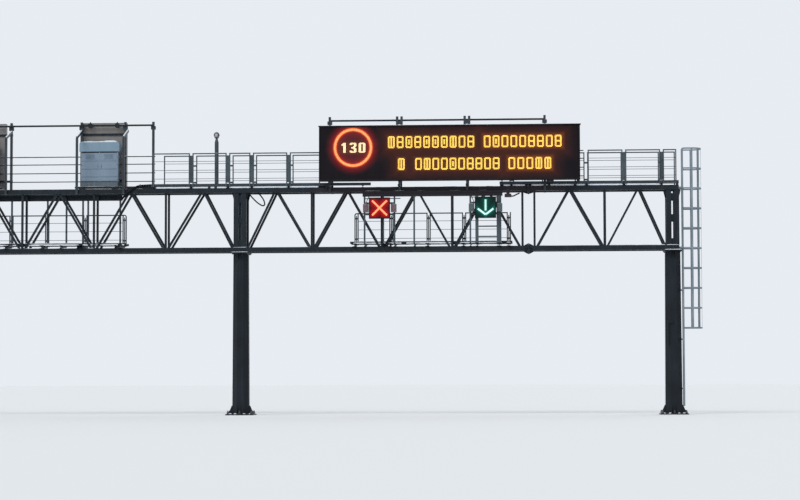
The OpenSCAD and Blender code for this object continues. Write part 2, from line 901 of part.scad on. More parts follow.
// Posts between the lower bearers and the beams, with cross bars at the signals
module signal_hangers() {
  h = beam_bottom - lower_z;
  color(steel) {
    for (p = right_hangers)
      block(p[0], -hanger_y, lower_z, p[1], hanger_w, h);
    for (p = left_hangers)
      block(-p[0], hanger_y, lower_z, p[1], hanger_w, h);
    for (i = [0, 4], z = cross_z)
      translate([right_hangers[i][0], -hanger_y - hanger_w / 2, z])
        cube([right_hangers[i + 2][0] - right_hangers[i][0], hanger_w, hanger_w]);
    for (z = stand_z)
      translate([right_hangers[5][0], -hanger_y - hanger_w / 2, z])
        cube([right_hangers[6][0] - right_hangers[5][0], hanger_w, stand_h]);
  }
}

// Square signal with a sunk face and a hood around it
module signal(x) {
  difference() {
    translate([x - signal_w / 2, signal_back - signal_d, signal_top - signal_w])
      cube([signal_w, signal_d, signal_w]);
    translate([x - signal_w / 2 + hood_t, signal_back - signal_d - 1, signal_top - signal_w + hood_t])
      cube([signal_w - 2 * hood_t, hood_t + 1, signal_w - 2 * hood_t]);
  }
}

module red_signal() { color([0.35, 0.05, 0.05]) signal(signal_x[0]); }
module green_signal() { color([0.02, 0.25, 0.2]) signal(signal_x[1]); }

// Lamp boxes beside the signals
module signal_lamps() {
  color(panel_grey)
    for (x = signal_x, s = [-1, 1])
      block(x + s * (signal_w / 2 + lamp_gap + lamp_w / 2), signal_back - lamp_d / 2,
        signal_top - lamp_drop - lamp_h, lamp_w, lamp_d, lamp_h);
}

back_sign_x = [-9615, -5145];
back_rail_d = 40;
back_rail_h = 80;
back_sign_z = high_top + 105;
band_h = 70;
band_t = 10;

// Horizontal channels that carry the back signs on their masts
module back_sign_channels() {
  for (i = [1, 3], z = [back_sign_z + 240, back_sign_z + back_sign_h - 470])
    translate([back_mast_x[i] - mast_w / 2, mast_front, z])
      cube([back_mast_x[i + 1] - back_mast_x[i] + mast_w, back_rail_d, back_rail_h]);
}

// Closed housings with a recessed face, a middle seam and a stiffening band on the back
module back_signs() {
  y = mast_front + back_rail_d;
  color(panel_grey)
    for (x = back_sign_x)
      difference() {
        union() {
          translate([x - back_sign_w / 2, y, back_sign_z]) cube([back_sign_w, back_sign_d, back_sign_h]);
          translate([x - back_sign_w / 2, y - band_t, back_sign_z + back_sign_h - 3 * band_h])
            cube([back_sign_w, band_t + 1, band_h]);
        }
        translate([x - seam / 2, y - 1, back_sign_z - 1])
          cube([seam, seam_depth + 1, back_sign_h - 3 * band_h]);
        translate([x - back_sign_w / 2 + case_edge, y + back_sign_d - case_recess / 2, back_sign_z + case_edge])
          cube([back_sign_w - 2 * case_edge, case_recess / 2 + 1, back_sign_h - 2 * case_edge]);
      }
}

cabinet_x = [for (x = back_sign_x) x - 75];
cabinet_back = outer_y - mast_rail_w;
cabinet_z = high_top + 300;
plinth_h = 160;
platform_w = 1790;
platform_t = 60;
beam_side = 80;
hood_over = 47;
hood_r = 70;
panel_seams = [193, 488, 812];

// Front outline of a cabinet's hood, with round upper corners
module hood_outline() {
  w = cabinet_w + 2 * hood_over;
  translate([-w / 2, 0]) square([w, hood_h - hood_r]);
  translate([-w / 2 + hood_r, 0]) square([w - 2 * hood_r, hood_h]);
  for (s = [-1, 1])
    translate([s * (w / 2 - hood_r), hood_h - hood_r]) circle(r = hood_r, $fn = 48);
}

// Control cabinet with three seams, on a plinth and a platform across both chords
module cabinet() {
  front = cabinet_back - cabinet_d;
  difference() {
    block(0, cabinet_back - cabinet_d / 2, cabinet_z, cabinet_w, cabinet_d, cabinet_h - plinth_h);
    for (z = panel_seams)
      translate([-cabinet_w / 2 - 1, front - 1, cabinet_z + z])
        cube([cabinet_w + 2, seam_depth + 1, seam]);
  }
  translate([0, cabinet_back, cabinet_z + cabinet_h - plinth_h])
    rotate([90, 0, 0])
      linear_extrude(height = cabinet_d + hood_over) hood_outline();
  block(0, cabinet_back - cabinet_d / 2, cabinet_z - plinth_h, cabinet_w - 20, cabinet_d - 20, plinth_h + 1);
}

module rear_cabinets() {
  color(cabinet_blue)
    for (x = cabinet_x) translate([x, 0, 0]) cabinet();
}

// Platforms of the cabinets, each on two beams across the chords
module cabinet_platforms() {
  z = cabinet_z - plinth_h - platform_t;
  color(steel)
    for (x = cabinet_x) {
      block(x, cabinet_back - cabinet_d / 2 - 20, z, platform_w, cabinet_d + 20, platform_t);
      for (s = [-1, 1])
        block(x + s * (cabinet_w / 2 - beam_side), 0, high_top, beam_side, 2 * outer_y, z - high_top);
    }
}

deck_end = chord_end;
ladder_x = deck_end + ladder_gap;
ladder_top = deck_top + ladder_over;
ladder_low = 300;
stile_d = 50;
stile_t = 30;
rung_d = 25;
rung_pitch = 300;
arm_bar = 30;
arm_h = 50;
arm_side = 40;
arm_z = [900, 2650, 4400];
hoop_t = 8;
hoop_h = 50;
hoop_pitch = 711;
cage_low = 2800;
hoop_count = floor((ladder_top - cage_low) / hoop_pitch) + 1;
cage_bar_w = 60;
cage_bar_t = 6;
cage_gap = 0.3;
cage_x = ladder_x + stile_d / 2 + 300;

module ladder() {
  arm_y = 80;
  back = ladder_x - stile_d / 2;
  color(zinc) {
    for (s = [-1, 1])
      block(ladder_x, s * ladder_w / 2, ladder_low, stile_d, stile_t, ladder_top - ladder_low);
    for (z = [ladder_low + 200:rung_pitch:deck_top - 100])
      translate([ladder_x, -ladder_w / 2, z])
        rotate([-90, 0, 0])
          cylinder(h = ladder_w, d = rung_d, $fn = 24);
    for (z = arm_z) {
      face = leg_spacing + leg_half(z) + cage_gap;
      block(back - arm_bar / 2, 0, z, arm_bar, ladder_w + stile_t, arm_h);
      for (s = [-1, 1])
        translate([face, s * arm_y - arm_side / 2, z])
          cube([back - arm_bar + 1 - face, arm_side, arm_h]);
    }
    for (z = [low_mid, high_mid]) {
      block(back - arm_bar / 2, 0, z - arm_h / 2, arm_bar, side_gap + arm_side, arm_h);
      for (s = [-1, 1])
        translate([chord_end, s * half_gap - arm_side / 2, z - arm_h / 2])
          cube([back - arm_bar + 1 - chord_end, arm_side, arm_h]);
    }
  }
}

// Outline of a hoop, open towards the ladder
module hoop_outline(r) {
  translate([cage_x, 0]) circle(r = r, $fn = 48);
  back = ladder_x + stile_d / 2 + cage_d / 2 - r;
  translate([back, -r])
    square([cage_x - back, 2 * r]);
}

// Hoops on the stiles of the ladder
module hoops() {
  r = cage_d / 2;
  color(zinc)
    for (k = [0:hoop_count - 1])
      translate([0, 0, ladder_top - hoop_h - k * hoop_pitch])
        linear_extrude(height = hoop_h)
          difference() {
            hoop_outline(r);
            hoop_outline(r - hoop_t);
            translate([ladder_x - 200, -ladder_w / 2 + 20]) square([200 + cage_d / 2, ladder_w - 40]);
          }
}

// Upright bars inside the hoops
module cage_bars() {
  r = cage_d / 2 - hoop_t - cage_gap;
  low = ladder_top - (hoop_count - 1) * hoop_pitch - hoop_h;
  color(zinc)
    for (a = [-90:45:90])
      translate([cage_x, 0, low])
        linear_extrude(height = ladder_top - low)
          rotate(a) intersection() {
            difference() {
              circle(r = r, $fn = 48);
              circle(r = r - cage_bar_t, $fn = 48);
            }
            translate([0, -cage_bar_w / 2]) square([r + 1, cage_bar_w]);
          }
}

module right_ladder() { ladder(); }
module right_hoops() { hoops(); }
module right_cage() { cage_bars(); }
module left_ladder() { mirror([1, 0, 0]) ladder(); }
module left_hoops() { mirror([1, 0, 0]) hoops(); }
module left_cage() { mirror([1, 0, 0]) cage_bars(); }

camera_x = -945;
camera_y = 290;
camera_z = deck_top - grate_drop;
pole_d = 145;
pole_h = 1580;
neck_d = 70;
neck_h = 150;
dome_d = 220;
collar_d = 160;
collar_h = 60;
plate_side = 200;
plate_t = 12;

module camera_mast() {
  color(steel)
    translate([camera_x, camera_y, camera_z]) {
      block(0, 0, 0, plate_side, plate_side, plate_t);
      cylinder(h = pole_h, d = pole_d, $fn = 32);
      translate([0, 0, pole_h]) cylinder(h = neck_h, d1 = pole_d, d2 = neck_d, $fn = 32);
    }
}

module dome_camera() {
  color([0.08, 0.08, 0.09])
    translate([camera_x, camera_y, camera_z + pole_h + neck_h]) {
      cylinder(h = collar_h, d = collar_d, $fn = 32);
      translate([0, 0, 2 * collar_h]) intersection() {
        sphere(d = dome_d, $fn = 32);
        translate([0, 0, 50]) cube([dome_d + 20, dome_d + 20, dome_d], center = true);
      }
    }
}

box_x = 9645;
box_size = [240, 114, 120];
box_top = high_bottom - 115;
gland_x = -4130;
entries = [[11150, 260], [12150, 110]];

// Cable boxes: one on a plate beside each end of the beams, one by the cable bundle
module junction_boxes() {
  color(zinc) {
    both_ways() {
      block(box_x, -outer_y - 3, box_top - box_size[2], box_size[0] / 2, 6, high_bottom + 60 - box_top + box_size[2]);
      block(box_x, -outer_y - 5 - box_size[1] / 2, box_top - box_size[2], box_size[0], box_size[1], box_size[2]);
    }
    block(gland_x, -outer_y - 30, high_top - 40, 80, 60, 80);
    for (e = entries)
      block(e[0], sign_back - 120, sign_z - 70, e[1], 110, 70);
  }
}

function unit(v) = v / norm(v);

// Points along a smooth curve through a list of points
function smooth(p, n) = concat([for (i = [0:len(p) - 2], k = [0:n - 1])
  let (a = p[max(i - 1, 0)], b = p[i], c = p[i + 1], d = p[min(i + 2, len(p) - 1)], t = k / n)
  0.5 * (2 * b + (c - a) * t + (2 * a - 5 * b + 4 * c - d) * t * t + (3 * b - a - 3 * c + d) * t * t * t)],
  [p[len(p) - 1]]);

// A round cable swept along a smooth curve
module cable(route, d) {
  p = smooth(route, 5);
  n = len(p);
  sides = 8;
  points = [for (i = [0:n - 1])
    let (t = unit(p[min(i + 1, n - 1)] - p[max(i - 1, 0)]), u = unit(cross([0, 1, 0.02], t)), v = cross(t, u))
    for (k = [0:sides - 1]) p[i] + d / 2 * (cos(360 * k / sides) * u + sin(360 * k / sides) * v)];
  faces = concat([[for (k = [0:sides - 1]) k]],
    [for (i = [0:n - 2], k = [0:sides - 1]) let (m = (k + 1) % sides)
      [i * sides + k, (i + 1) * sides + k, (i + 1) * sides + m, i * sides + m]],
    [[for (k = [sides - 1:-1:0]) (n - 1) * sides + k]]);
  polyhedron(points = points, faces = faces);
}

cable_d = 28;
front_y = -mast_front - 8;
loop_route = [[320, -300, 7989], [420, -300, 7840], [620, -290, 7640], [800, -280, 7530], [880, -270, 7570],
  [850, -260, 7720], [740, -280, 7890], [637, -300, 7989]];
bundle_route = [[-4290, front_y, 7800], [-4200, front_y, 7900], [-4080, front_y, 8000], [-3960, -450, 8100],
  [-3840, -440, 8200], [-3700, -440, 8270], [-3420, -440, 8300], [-3240, -440, 8300]];
lead_route = [[9765, -450, 7800], [9840, -440, 7800], [9960, -440, 7860], [10060, -440, 7900]];

module cables() {
  color([0.06, 0.06, 0.06]) {
    cable(loop_route, cable_d);
    for (k = [0:2])
      translate([0, 0, -34 * k]) cable(bundle_route, cable_d);
    cable(lead_route, cable_d);
  }
}

fitting_x = [-220, -15];
fitting_z = [3245, 3325];
fitting_d = 60;
pipe_d = 52;
pipe_z = 2440;

// Bracket on the front of the right leg, with a pipe that hangs below it
module leg_fittings() {
  face = -leg_half(fitting_z[0]) - fin_gap;
  x = leg_spacing + fitting_x[0];
  color(steel) {
    translate([x, face - fitting_d, fitting_z[0]])
      cube([fitting_x[1] - fitting_x[0], fitting_d, fitting_z[1] - fitting_z[0]]);
    translate([x + pipe_d / 2, face - fitting_d / 2, pipe_z])
      cylinder(h = fitting_z[0] - pipe_z + 1, d = pipe_d, $fn = 24);
  }
}

base_plates();
base_fins();
left_leg();
middle_leg();
right_leg();
head_plates();
near_side_left();
near_side_middle();
near_side_right();
far_side_left();
far_side_middle();
far_side_right();
leg_head_posts();
bottom_bracing();
cross_struts();
splice_flanges();
end_flanges();
deck_bearers();
deck_edges();
deck_grating();
near_railing();
far_railing();
lower_decks();
lower_railings();
masts();
mast_struts();
mast_braces();
mast_rails();
lifting_rails();
sign_housing();
sign_face();
sign_brackets();
signal_beams();
signal_hangers();
red_signal();
green_signal();
signal_lamps();
back_signs();
rear_cabinets();
cabinet_platforms();
right_ladder();
right_hoops();
right_cage();
left_ladder();
left_hoops();
left_cage();
camera_mast();
dome_camera();
junction_boxes();
cables();
leg_fittings();
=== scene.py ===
import math
import random

import bmesh
import bpy
from mathutils import Matrix, Vector, noise


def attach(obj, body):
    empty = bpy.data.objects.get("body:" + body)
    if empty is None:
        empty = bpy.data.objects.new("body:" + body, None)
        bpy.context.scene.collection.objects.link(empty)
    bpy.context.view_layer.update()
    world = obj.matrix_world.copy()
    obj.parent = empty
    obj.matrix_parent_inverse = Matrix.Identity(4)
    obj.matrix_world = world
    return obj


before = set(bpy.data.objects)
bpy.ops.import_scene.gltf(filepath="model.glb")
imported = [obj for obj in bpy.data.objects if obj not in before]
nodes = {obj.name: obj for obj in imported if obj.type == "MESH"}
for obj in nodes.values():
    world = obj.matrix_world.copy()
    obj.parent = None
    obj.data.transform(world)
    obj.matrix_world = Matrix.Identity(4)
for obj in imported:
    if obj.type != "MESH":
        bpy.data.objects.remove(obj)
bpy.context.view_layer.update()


# Heights and places of the CAD, in metres

HEAD_BOTTOM = 5.81
HEAD_TOP = 5.85
ANCHOR_OFF = 0.42
LOW_TOP = 6.02
HIGH_TOP = 8.16
DECK_Z = 8.225
DECK_TOP = 8.325
HALF_GAP = 0.34
CHORD_WIDTH = 0.15
LOW_MID = 5.935
HIGH_MID = 8.075
LEGS = (-15.5, 0.0, 15.5)
SPLICES = (10.37, -10.77)
JOINTS = [s * (0.43 + k * 1.335) for s in (-1, 1) for k in range(12)]
NEAR_RAILS = ((-15.64, -10.70), (-3.15, 2.90), (12.4925, 15.64))
FAR_RAILS = ((-15.64, -12.4925), (-2.90, 3.15), (9.40, 10.905), (11.1575, 15.64))
RAIL_Y = 0.445
RAIL_TOP = 9.435
LOWER_DECK_Z = 6.13
LOWER_POSTS = (4.145, 5.410, 6.760, 8.045, 9.660, -4.340, -5.790, -7.195, -8.520, -9.660)
MAST_TOP = 10.59
BEAM_Y = 0.485
BEAM_TOP = 8.01
FACE_Y = -0.96
SIGN_BACK = -0.57
SIGN_X = (2.915, 12.215)
SIGNAL_X = (5.064, 8.846)
SIGNAL_Z = 7.375
SIGNAL_TOP = 7.74
SIGNAL_FRONT = -0.785
SIGNAL_FACE = -0.773
SIGNAL_BACK = -0.545
ARROW_X = 8.850
DIAGONAL = 0.7071
LAMP_OFF = 0.365 + 0.038 + 0.0975
LAMP_Z = 7.382
LAMP_TOP = 7.527
BACK_SIGN_X = (-9.615, -5.145)
CABINET_X = (-9.690, -5.220)
CABINET_FRONT = 0.115
CABINET_HALF = 0.655
CABINET_FOOT = (8.492, 8.488)
CAMERA = (-0.945, 0.29)
CAGE_X = 16.19
CAGE_R = 0.3357
HOOPS = [9.475 - k * 0.711 for k in range(10)]

# Routes of the cables, in millimetres; the step between those of the bundle is in metres
LOOP = ((320, -300, 7989), (420, -300, 7840), (620, -290, 7640), (800, -280, 7530), (880, -270, 7570),
        (850, -260, 7720), (740, -280, 7890), (637, -300, 7989))
LEAD = ((9765, -450, 7800), (9840, -440, 7800), (9960, -440, 7860), (10060, -440, 7900))
BUNDLE = ((-4290, -518, 7800), (-4200, -518, 7900), (-4080, -518, 8000), (-3960, -450, 8100),
          (-3840, -440, 8200), (-3700, -440, 8270), (-3420, -440, 8300), (-3240, -440, 8300))
BUNDLE_STEP = 0.034

# Heads of rivets: distances along the axis and radii
RIVET = [(0, 0.007), (0.002, 0.0065), (0.0035, 0.003)]
SMALL_RIVET = [(0, 0.006), (0.002, 0.0055), (0.0035, 0.0025)]
CAGE_RIVET = [(-0.001, 0.006), (0.0025, 0.0055), (0.004, 0.003)]

UP = (0, 0, 1)
FRONT = (0, -1, 0)
BLACK = (0.0, 0.0, 0.0)
FROST = (0.72, 0.77, 0.82)


# Materials

def new_material(name):
    mat = bpy.data.materials.new(name)
    mat.use_nodes = True
    tree = mat.node_tree
    tree.nodes.clear()
    out = tree.nodes.new("ShaderNodeOutputMaterial")
    shader = tree.nodes.new("ShaderNodeBsdfPrincipled")
    tree.links.new(shader.outputs["BSDF"], out.inputs["Surface"])
    return mat, tree, shader


def set_values(node, values):
    for name, value in values.items():
        node.inputs[name].default_value = value


def noise_node(tree, scale, detail=4.0, stretch=(1, 1, 1), rough=0.55):
    coord = tree.nodes.new("ShaderNodeTexCoord")
    mapping = tree.nodes.new("ShaderNodeMapping")
    mapping.inputs["Scale"].default_value = stretch
    tree.links.new(coord.outputs["Object"], mapping.inputs["Vector"])
    tex = tree.nodes.new("ShaderNodeTexNoise")
    set_values(tex, {"Scale": scale, "Detail": detail, "Roughness": rough})
    tree.links.new(mapping.outputs["Vector"], tex.inputs["Vector"])
    return tex.outputs["Fac"]


def ramp(tree, value, low, high, out_low=0.0, out_high=1.0):
    node = tree.nodes.new("ShaderNodeMapRange")
    set_values(node, {"From Min": low, "From Max": high, "To Min": out_low, "To Max": out_high})
    tree.links.new(value, node.inputs["Value"])
    return node.outputs["Result"]


def maths(tree, operation, *values):
    node = tree.nodes.new("ShaderNodeMath")
    node.operation = operation
    for k, v in enumerate(values):
        if isinstance(v, (int, float)):
            node.inputs[k].default_value = v
        else:
            tree.links.new(v, node.inputs[k])
    return node.outputs[0]


def times(tree, a, b):
    return maths(tree, "MULTIPLY", a, b)


def minus(tree, a, b):
    return maths(tree, "SUBTRACT", a, b)


def apart(tree, a, b):
    """How far two values are from each other."""
    return maths(tree, "ABSOLUTE", minus(tree, a, b))


def blend_colour(tree, fac, a, b):
    node = tree.nodes.new("ShaderNodeMix")
    node.data_type = "RGBA"
    tree.links.new(fac, node.inputs["Factor"])
    for k, v in ((6, a), (7, b)):
        if isinstance(v, tuple):
            node.inputs[k].default_value = v + (1.0,)
        else:
            tree.links.new(v, node.inputs[k])
    return node.outputs[2]


def place_parts(tree):
    coord = tree.nodes.new("ShaderNodeTexCoord")
    parts = tree.nodes.new("ShaderNodeSeparateXYZ")
    tree.links.new(coord.outputs["Object"], parts.inputs["Vector"])
    return parts.outputs["X"], parts.outputs["Y"], parts.outputs["Z"]


def upward(tree, low, high):
    geo = tree.nodes.new("ShaderNodeNewGeometry")
    split = tree.nodes.new("ShaderNodeSeparateXYZ")
    tree.links.new(geo.outputs["Normal"], split.inputs["Vector"])
    return ramp(tree, split.outputs["Z"], low, high)


def add_bump(tree, shader, height, strength, distance):
    bump = tree.nodes.new("ShaderNodeBump")
    set_values(bump, {"Strength": strength, "Distance": distance})
    tree.links.new(height, bump.inputs["Height"])
    tree.links.new(bump.outputs["Normal"], shader.inputs["Normal"])


def painted_glow_mask(tree, x, z, x0, x1, z0, z1, soft):
    """Mask of painted glow: 1 inside a stretch of the gantry and 0 outside it, with a soft edge."""
    across = times(tree, ramp(tree, x, x0 - soft, x0 + soft), ramp(tree, x, x1 - soft, x1 + soft, 1.0, 0.0))
    along = times(tree, ramp(tree, z, z0 - soft, z0 + soft), ramp(tree, z, z1 - soft, z1 + soft, 1.0, 0.0))
    return times(tree, across, along)


def paint(name, base, dark, pale, rough=(0.42, 0.6), metallic=0.0, frost=0.0, streaks=0.5, gloss=0.35,
          tint=None, painted_glow_zones=()):
    """Weathered paint or zinc: large clouds, rain streaks, fine grain and frost on top faces, and a painted
    glow of a nearby display or signal over given stretches of the gantry.
    """
    mat, tree, shader = new_material(name)
    clouds = ramp(tree, noise_node(tree, 1.3, 5), 0.36, 0.66)
    colour = blend_colour(tree, clouds, base, dark)
    if tint:
        low, high, shade, foot = tint
        z = place_parts(tree)[2]
        colour = blend_colour(tree, ramp(tree, z, low, high), colour, shade)
        colour = blend_colour(tree, ramp(tree, z, *CABINET_FOOT), colour, foot)
    # Painted light: inside each given stretch the colour turns towards the glow that a nearby display or
    # signal casts on it.
    for *limits, shade in painted_glow_zones:
        x, _, z = place_parts(tree)
        colour = blend_colour(tree, painted_glow_mask(tree, x, z, *limits), colour, shade)
    rain = ramp(tree, noise_node(tree, 1.0, 6, (9, 9, 0.7), 0.65), 0.55, 0.78, 0.0, streaks)
    colour = blend_colour(tree, rain, colour, pale)
    grain = noise_node(tree, 42, 3)
    speck = ramp(tree, grain, 0.66, 0.74, 0.0, 0.35)
    colour = blend_colour(tree, speck, colour, pale)
    if frost:
        rime = ramp(tree, noise_node(tree, 7, 6), 0.4, 0.6, 0.25, 1.0)
        top = times(tree, upward(tree, 0.6, 0.97), times(tree, rime, frost))
        colour = blend_colour(tree, top, colour, FROST)
    tree.links.new(colour, shader.inputs["Base Color"])
    tree.links.new(ramp(tree, grain, 0.3, 0.7, *rough), shader.inputs["Roughness"])
    set_values(shader, {"Metallic": metallic, "Specular IOR Level": gloss})
    add_bump(tree, shader, grain, 0.25, 0.002)
    return mat


# Painted light: over the message sign the steel is tinted red-brown, standing in for the sign's glow
# reflected on it.
STEEL = paint("truss paint with painted sign glow", (0.0100, 0.0180, 0.0255), (0.005, 0.009, 0.0135), (0.036, 0.052, 0.063),
              frost=0.8, gloss=0.22, painted_glow_zones=((2.7, 11.6, 7.65, 8.30, 0.25, (0.0185, 0.0145, 0.0195)),))
LEG = paint("leg paint", (0.0085, 0.0140, 0.0205), (0.005, 0.008, 0.012), (0.032, 0.041, 0.048),
            frost=0.8, gloss=0.2)
EDGE = paint("deck edge paint", (0.030, 0.044, 0.057), (0.014, 0.021, 0.029), (0.085, 0.110, 0.130),
             frost=0.9)
RAIL = paint("railing paint", (0.062, 0.086, 0.104), (0.034, 0.048, 0.060), (0.15, 0.18, 0.205), frost=0.9)
ZINC = paint("galvanised", (0.25, 0.30, 0.34), (0.17, 0.21, 0.245), (0.40, 0.44, 0.48),
             rough=(0.38, 0.56), metallic=0.35, frost=0.5, streaks=0.35)
CASE = paint("sign case", (0.008, 0.008, 0.010), (0.004, 0.004, 0.005), (0.025, 0.026, 0.030),
             rough=(0.5, 0.66), frost=0.6, streaks=0.2, gloss=0.2)
PANEL = paint("back panel", (0.255, 0.240, 0.235), (0.195, 0.182, 0.178), (0.36, 0.36, 0.36),
              rough=(0.5, 0.65), frost=0.7, gloss=0.25)
CABINET = paint("cabinet paint", (0.215, 0.290, 0.375), (0.180, 0.245, 0.320), (0.34, 0.41, 0.47),
                rough=(0.4, 0.55), frost=0.8,
                tint=(9.55, 9.60, (0.205, 0.300, 0.385), (0.105, 0.135, 0.160)))
# Painted light: the lamp boxes beside the red signal are tinted red and those beside the green signal
# green, standing in for the signals' light on them.
LAMP = paint("lamp box paint with painted signal glow", (0.165, 0.160, 0.175), (0.115, 0.112, 0.125), (0.26, 0.26, 0.27), frost=0.7,
             painted_glow_zones=((4.2, 6.0, 6.9, 8.0, 0.1, (0.165, 0.105, 0.135)),
                    (8.0, 9.7, 6.9, 7.72, 0.1, (0.085, 0.118, 0.125))))
BOX = paint("junction box paint", (0.042, 0.032, 0.038), (0.028, 0.022, 0.026), (0.09, 0.08, 0.085),
            frost=0.5, gloss=0.25)
CABLE = paint("cable sheath", (0.006, 0.007, 0.008), (0.004, 0.005, 0.006), (0.02, 0.02, 0.022),
              rough=(0.6, 0.8), streaks=0.1, gloss=0.12)
BOLT = paint("bolt zinc", (0.10, 0.11, 0.12), (0.055, 0.06, 0.066), (0.20, 0.21, 0.22),
             rough=(0.35, 0.5), metallic=0.5, frost=0.4, streaks=0.2)


def plain(name, base, dark, rough=0.3, coat=0.0):
    mat, tree, shader = new_material(name)
    colour = blend_colour(tree, ramp(tree, noise_node(tree, 5, 4), 0.35, 0.65), base, dark)
    tree.links.new(colour, shader.inputs["Base Color"])
    set_values(shader, {"Roughness": rough, "Coat Weight": coat})
    add_bump(tree, shader, noise_node(tree, 60, 2), 0.1, 0.001)
    return mat


DOME = plain("dome plastic", (0.03, 0.03, 0.034), (0.015, 0.015, 0.018), 0.15, 0.6)
# Painted highlight: the camera's window is pale grey, standing in for the bright reflection on its dome.
LENS = plain("dome window with painted highlight", (0.50, 0.52, 0.55), (0.40, 0.42, 0.45), 0.08, 0.9)
# Near-black rubber of the cable clips; the cabinets' dark strips wear it too, as painted shadow.
RUBBER_AND_SHADOW = plain("seal rubber and painted shadow", (0.010, 0.010, 0.011), (0.006, 0.006, 0.007), 0.7)


def snow_material():
    mat, tree, shader = new_material("snow")
    fine = noise_node(tree, 55, 5)
    colour = blend_colour(tree, ramp(tree, noise_node(tree, 6, 5), 0.35, 0.65), (0.80, 0.84, 0.88),
                          (0.66, 0.71, 0.77))
    tree.links.new(colour, shader.inputs["Base Color"])
    tree.links.new(ramp(tree, fine, 0.3, 0.7, 0.7, 0.9), shader.inputs["Roughness"])
    shader.inputs["Specular IOR Level"].default_value = 0.2
    add_bump(tree, shader, fine, 0.5, 0.004)
    return mat


SNOW = snow_material()


def rectangle(tree, x, z, cx, cz, hw, hh):
    """Distance outside a rectangle on an upright face, in metres."""
    across = minus(tree, apart(tree, x, cx), hw)
    along = minus(tree, apart(tree, z, cz), hh)
    return maths(tree, "MAXIMUM", across, along)


def halo(tree, distance, reach):
    near = ramp(tree, distance, 0.0, reach, 1.0, 0.0)
    return times(tree, near, near)


def display(name, base, glows, pitch=0.0308, module=0.308, case=None):
    """Dark display sheet with pits of lamps, seams of modules, and a soft glow round what is lit."""
    mat, tree, shader = new_material(name)
    x, y, z = place_parts(tree)
    pits = times(tree, maths(tree, "SINE", times(tree, x, 2 * math.pi / pitch)),
                 maths(tree, "SINE", times(tree, z, 2 * math.pi / pitch)))
    pits = ramp(tree, pits, 0.1, 0.9)
    clouds = ramp(tree, noise_node(tree, 2.2, 4), 0.35, 0.65)
    colour = blend_colour(tree, clouds, base, tuple(0.6 * c for c in base))
    colour = blend_colour(tree, pits, colour, tuple(0.35 * c for c in base))
    for axis in (x, z):
        seam = maths(tree, "PINGPONG", axis, module / 2)
        colour = blend_colour(tree, ramp(tree, seam, 0.0, 0.006, 0.6, 0.0), colour, BLACK)
    grain = ramp(tree, noise_node(tree, 16, 5), 0.25, 0.75, 0.65, 1.15)
    light = BLACK
    for factor, shade in glows(tree, x, z):
        light = blend_colour(tree, times(tree, factor, grain), light, shade)
    if case:
        face_y, *window = case
        on_face = ramp(tree, apart(tree, y, face_y), 0.001, 0.003, 1.0, 0.0)
        inside = times(tree, on_face, ramp(tree, rectangle(tree, x, z, *window), -0.002, 0.0, 1.0, 0.0))
        colour = blend_colour(tree, inside, (0.010, 0.010, 0.012), colour)
        light = blend_colour(tree, inside, BLACK, light)
    tree.links.new(colour, shader.inputs["Base Color"])
    if not isinstance(light, tuple):
        tree.links.new(light, shader.inputs["Emission Color"])
        shader.inputs["Emission Strength"].default_value = 1.0
    set_values(shader, {"Roughness": 0.6, "Specular IOR Level": 0.12})
    add_bump(tree, shader, pits, 0.3, 0.002)
    return mat


def lamp(name, colour, strength):
    """Lit diode: bright core that varies a little from one diode to the next."""
    mat, tree, shader = new_material(name)
    patches = ramp(tree, noise_node(tree, 14, 2), 0.35, 0.65)
    lit, dull, deep, deeper = (tuple(f * c for c in colour) for f in (1.0, 0.85, 0.2, 0.15))
    tree.links.new(blend_colour(tree, patches, lit, dull), shader.inputs["Emission Color"])
    tree.links.new(blend_colour(tree, patches, deep, deeper), shader.inputs["Base Color"])
    set_values(shader, {"Emission Strength": strength, "Roughness": 0.4, "Specular IOR Level": 0.2})
    return mat


# Rows of the message: bottom, top and groups of cells, each with its left end, number of cells and pitch
ROWS = (
    (9.498, 9.929, ((5.381, 10, 0.3152), (8.800, 9, 0.3150))),
    (8.713, 9.144, ((5.737, 1, 0.308), (6.352, 10, 0.3070), (9.672, 5, 0.3190))),
)
DOT = 0.0308
RING = (4.132, 9.532)
RING_R = 0.645
RING_PITCH = 0.027

# The number in the ring: its middle, the left end and top of its dots, and their pitches
NUMBER = (4.135, 9.527)
NUMBER_START = (3.690, 9.7055)
DIGIT_PITCH = 0.322
NUMBER_ROW = 0.0255

# Dots across a stroke of the cross and the arrow, as shares of their pitch
STROKE = (-0.55, 0.0, 0.55)
MARK_PITCH = 0.034
MARK_DOT = 0.0165


def face_glows(tree, x, z):
    """Light that the lit cells, the ring and its number spread over the display."""
    glows = []
    for low, high, groups in ROWS:
        for start, count, pitch in groups:
            half = (count * pitch - 2 * DOT) / 2
            box = rectangle(tree, x, z, start + half, (low + high) / 2, half, (high - low) / 2)
            near = (0.200, 0.046, 0.002) if start > 8.0 else (0.120, 0.034, 0.002)
            glows.append((halo(tree, box, 0.62), (0.060, 0.012, 0.003)))
            glows.append((halo(tree, box, 0.15 if start > 8.0 else 0.09), near))
    dx = minus(tree, x, RING[0])
    dz = minus(tree, z, RING[1])
    r = maths(tree, "SQRT", maths(tree, "ADD", times(tree, dx, dx), times(tree, dz, dz)))
    off = minus(tree, apart(tree, r, RING_R), 0.05)
    glows.append((ramp(tree, r, 0.55, 0.66, 1.0, 0.0), (0.072, 0.011, 0.012)))
    glows.append((halo(tree, off, 0.34), (0.260, 0.008, 0.010)))
    glows.append((halo(tree, off, 0.07), (0.620, 0.070, 0.012)))
    number = rectangle(tree, x, z, *NUMBER, 0.40, 0.15)
    glows.append((halo(tree, number, 0.20), (0.120, 0.034, 0.014)))
    return glows


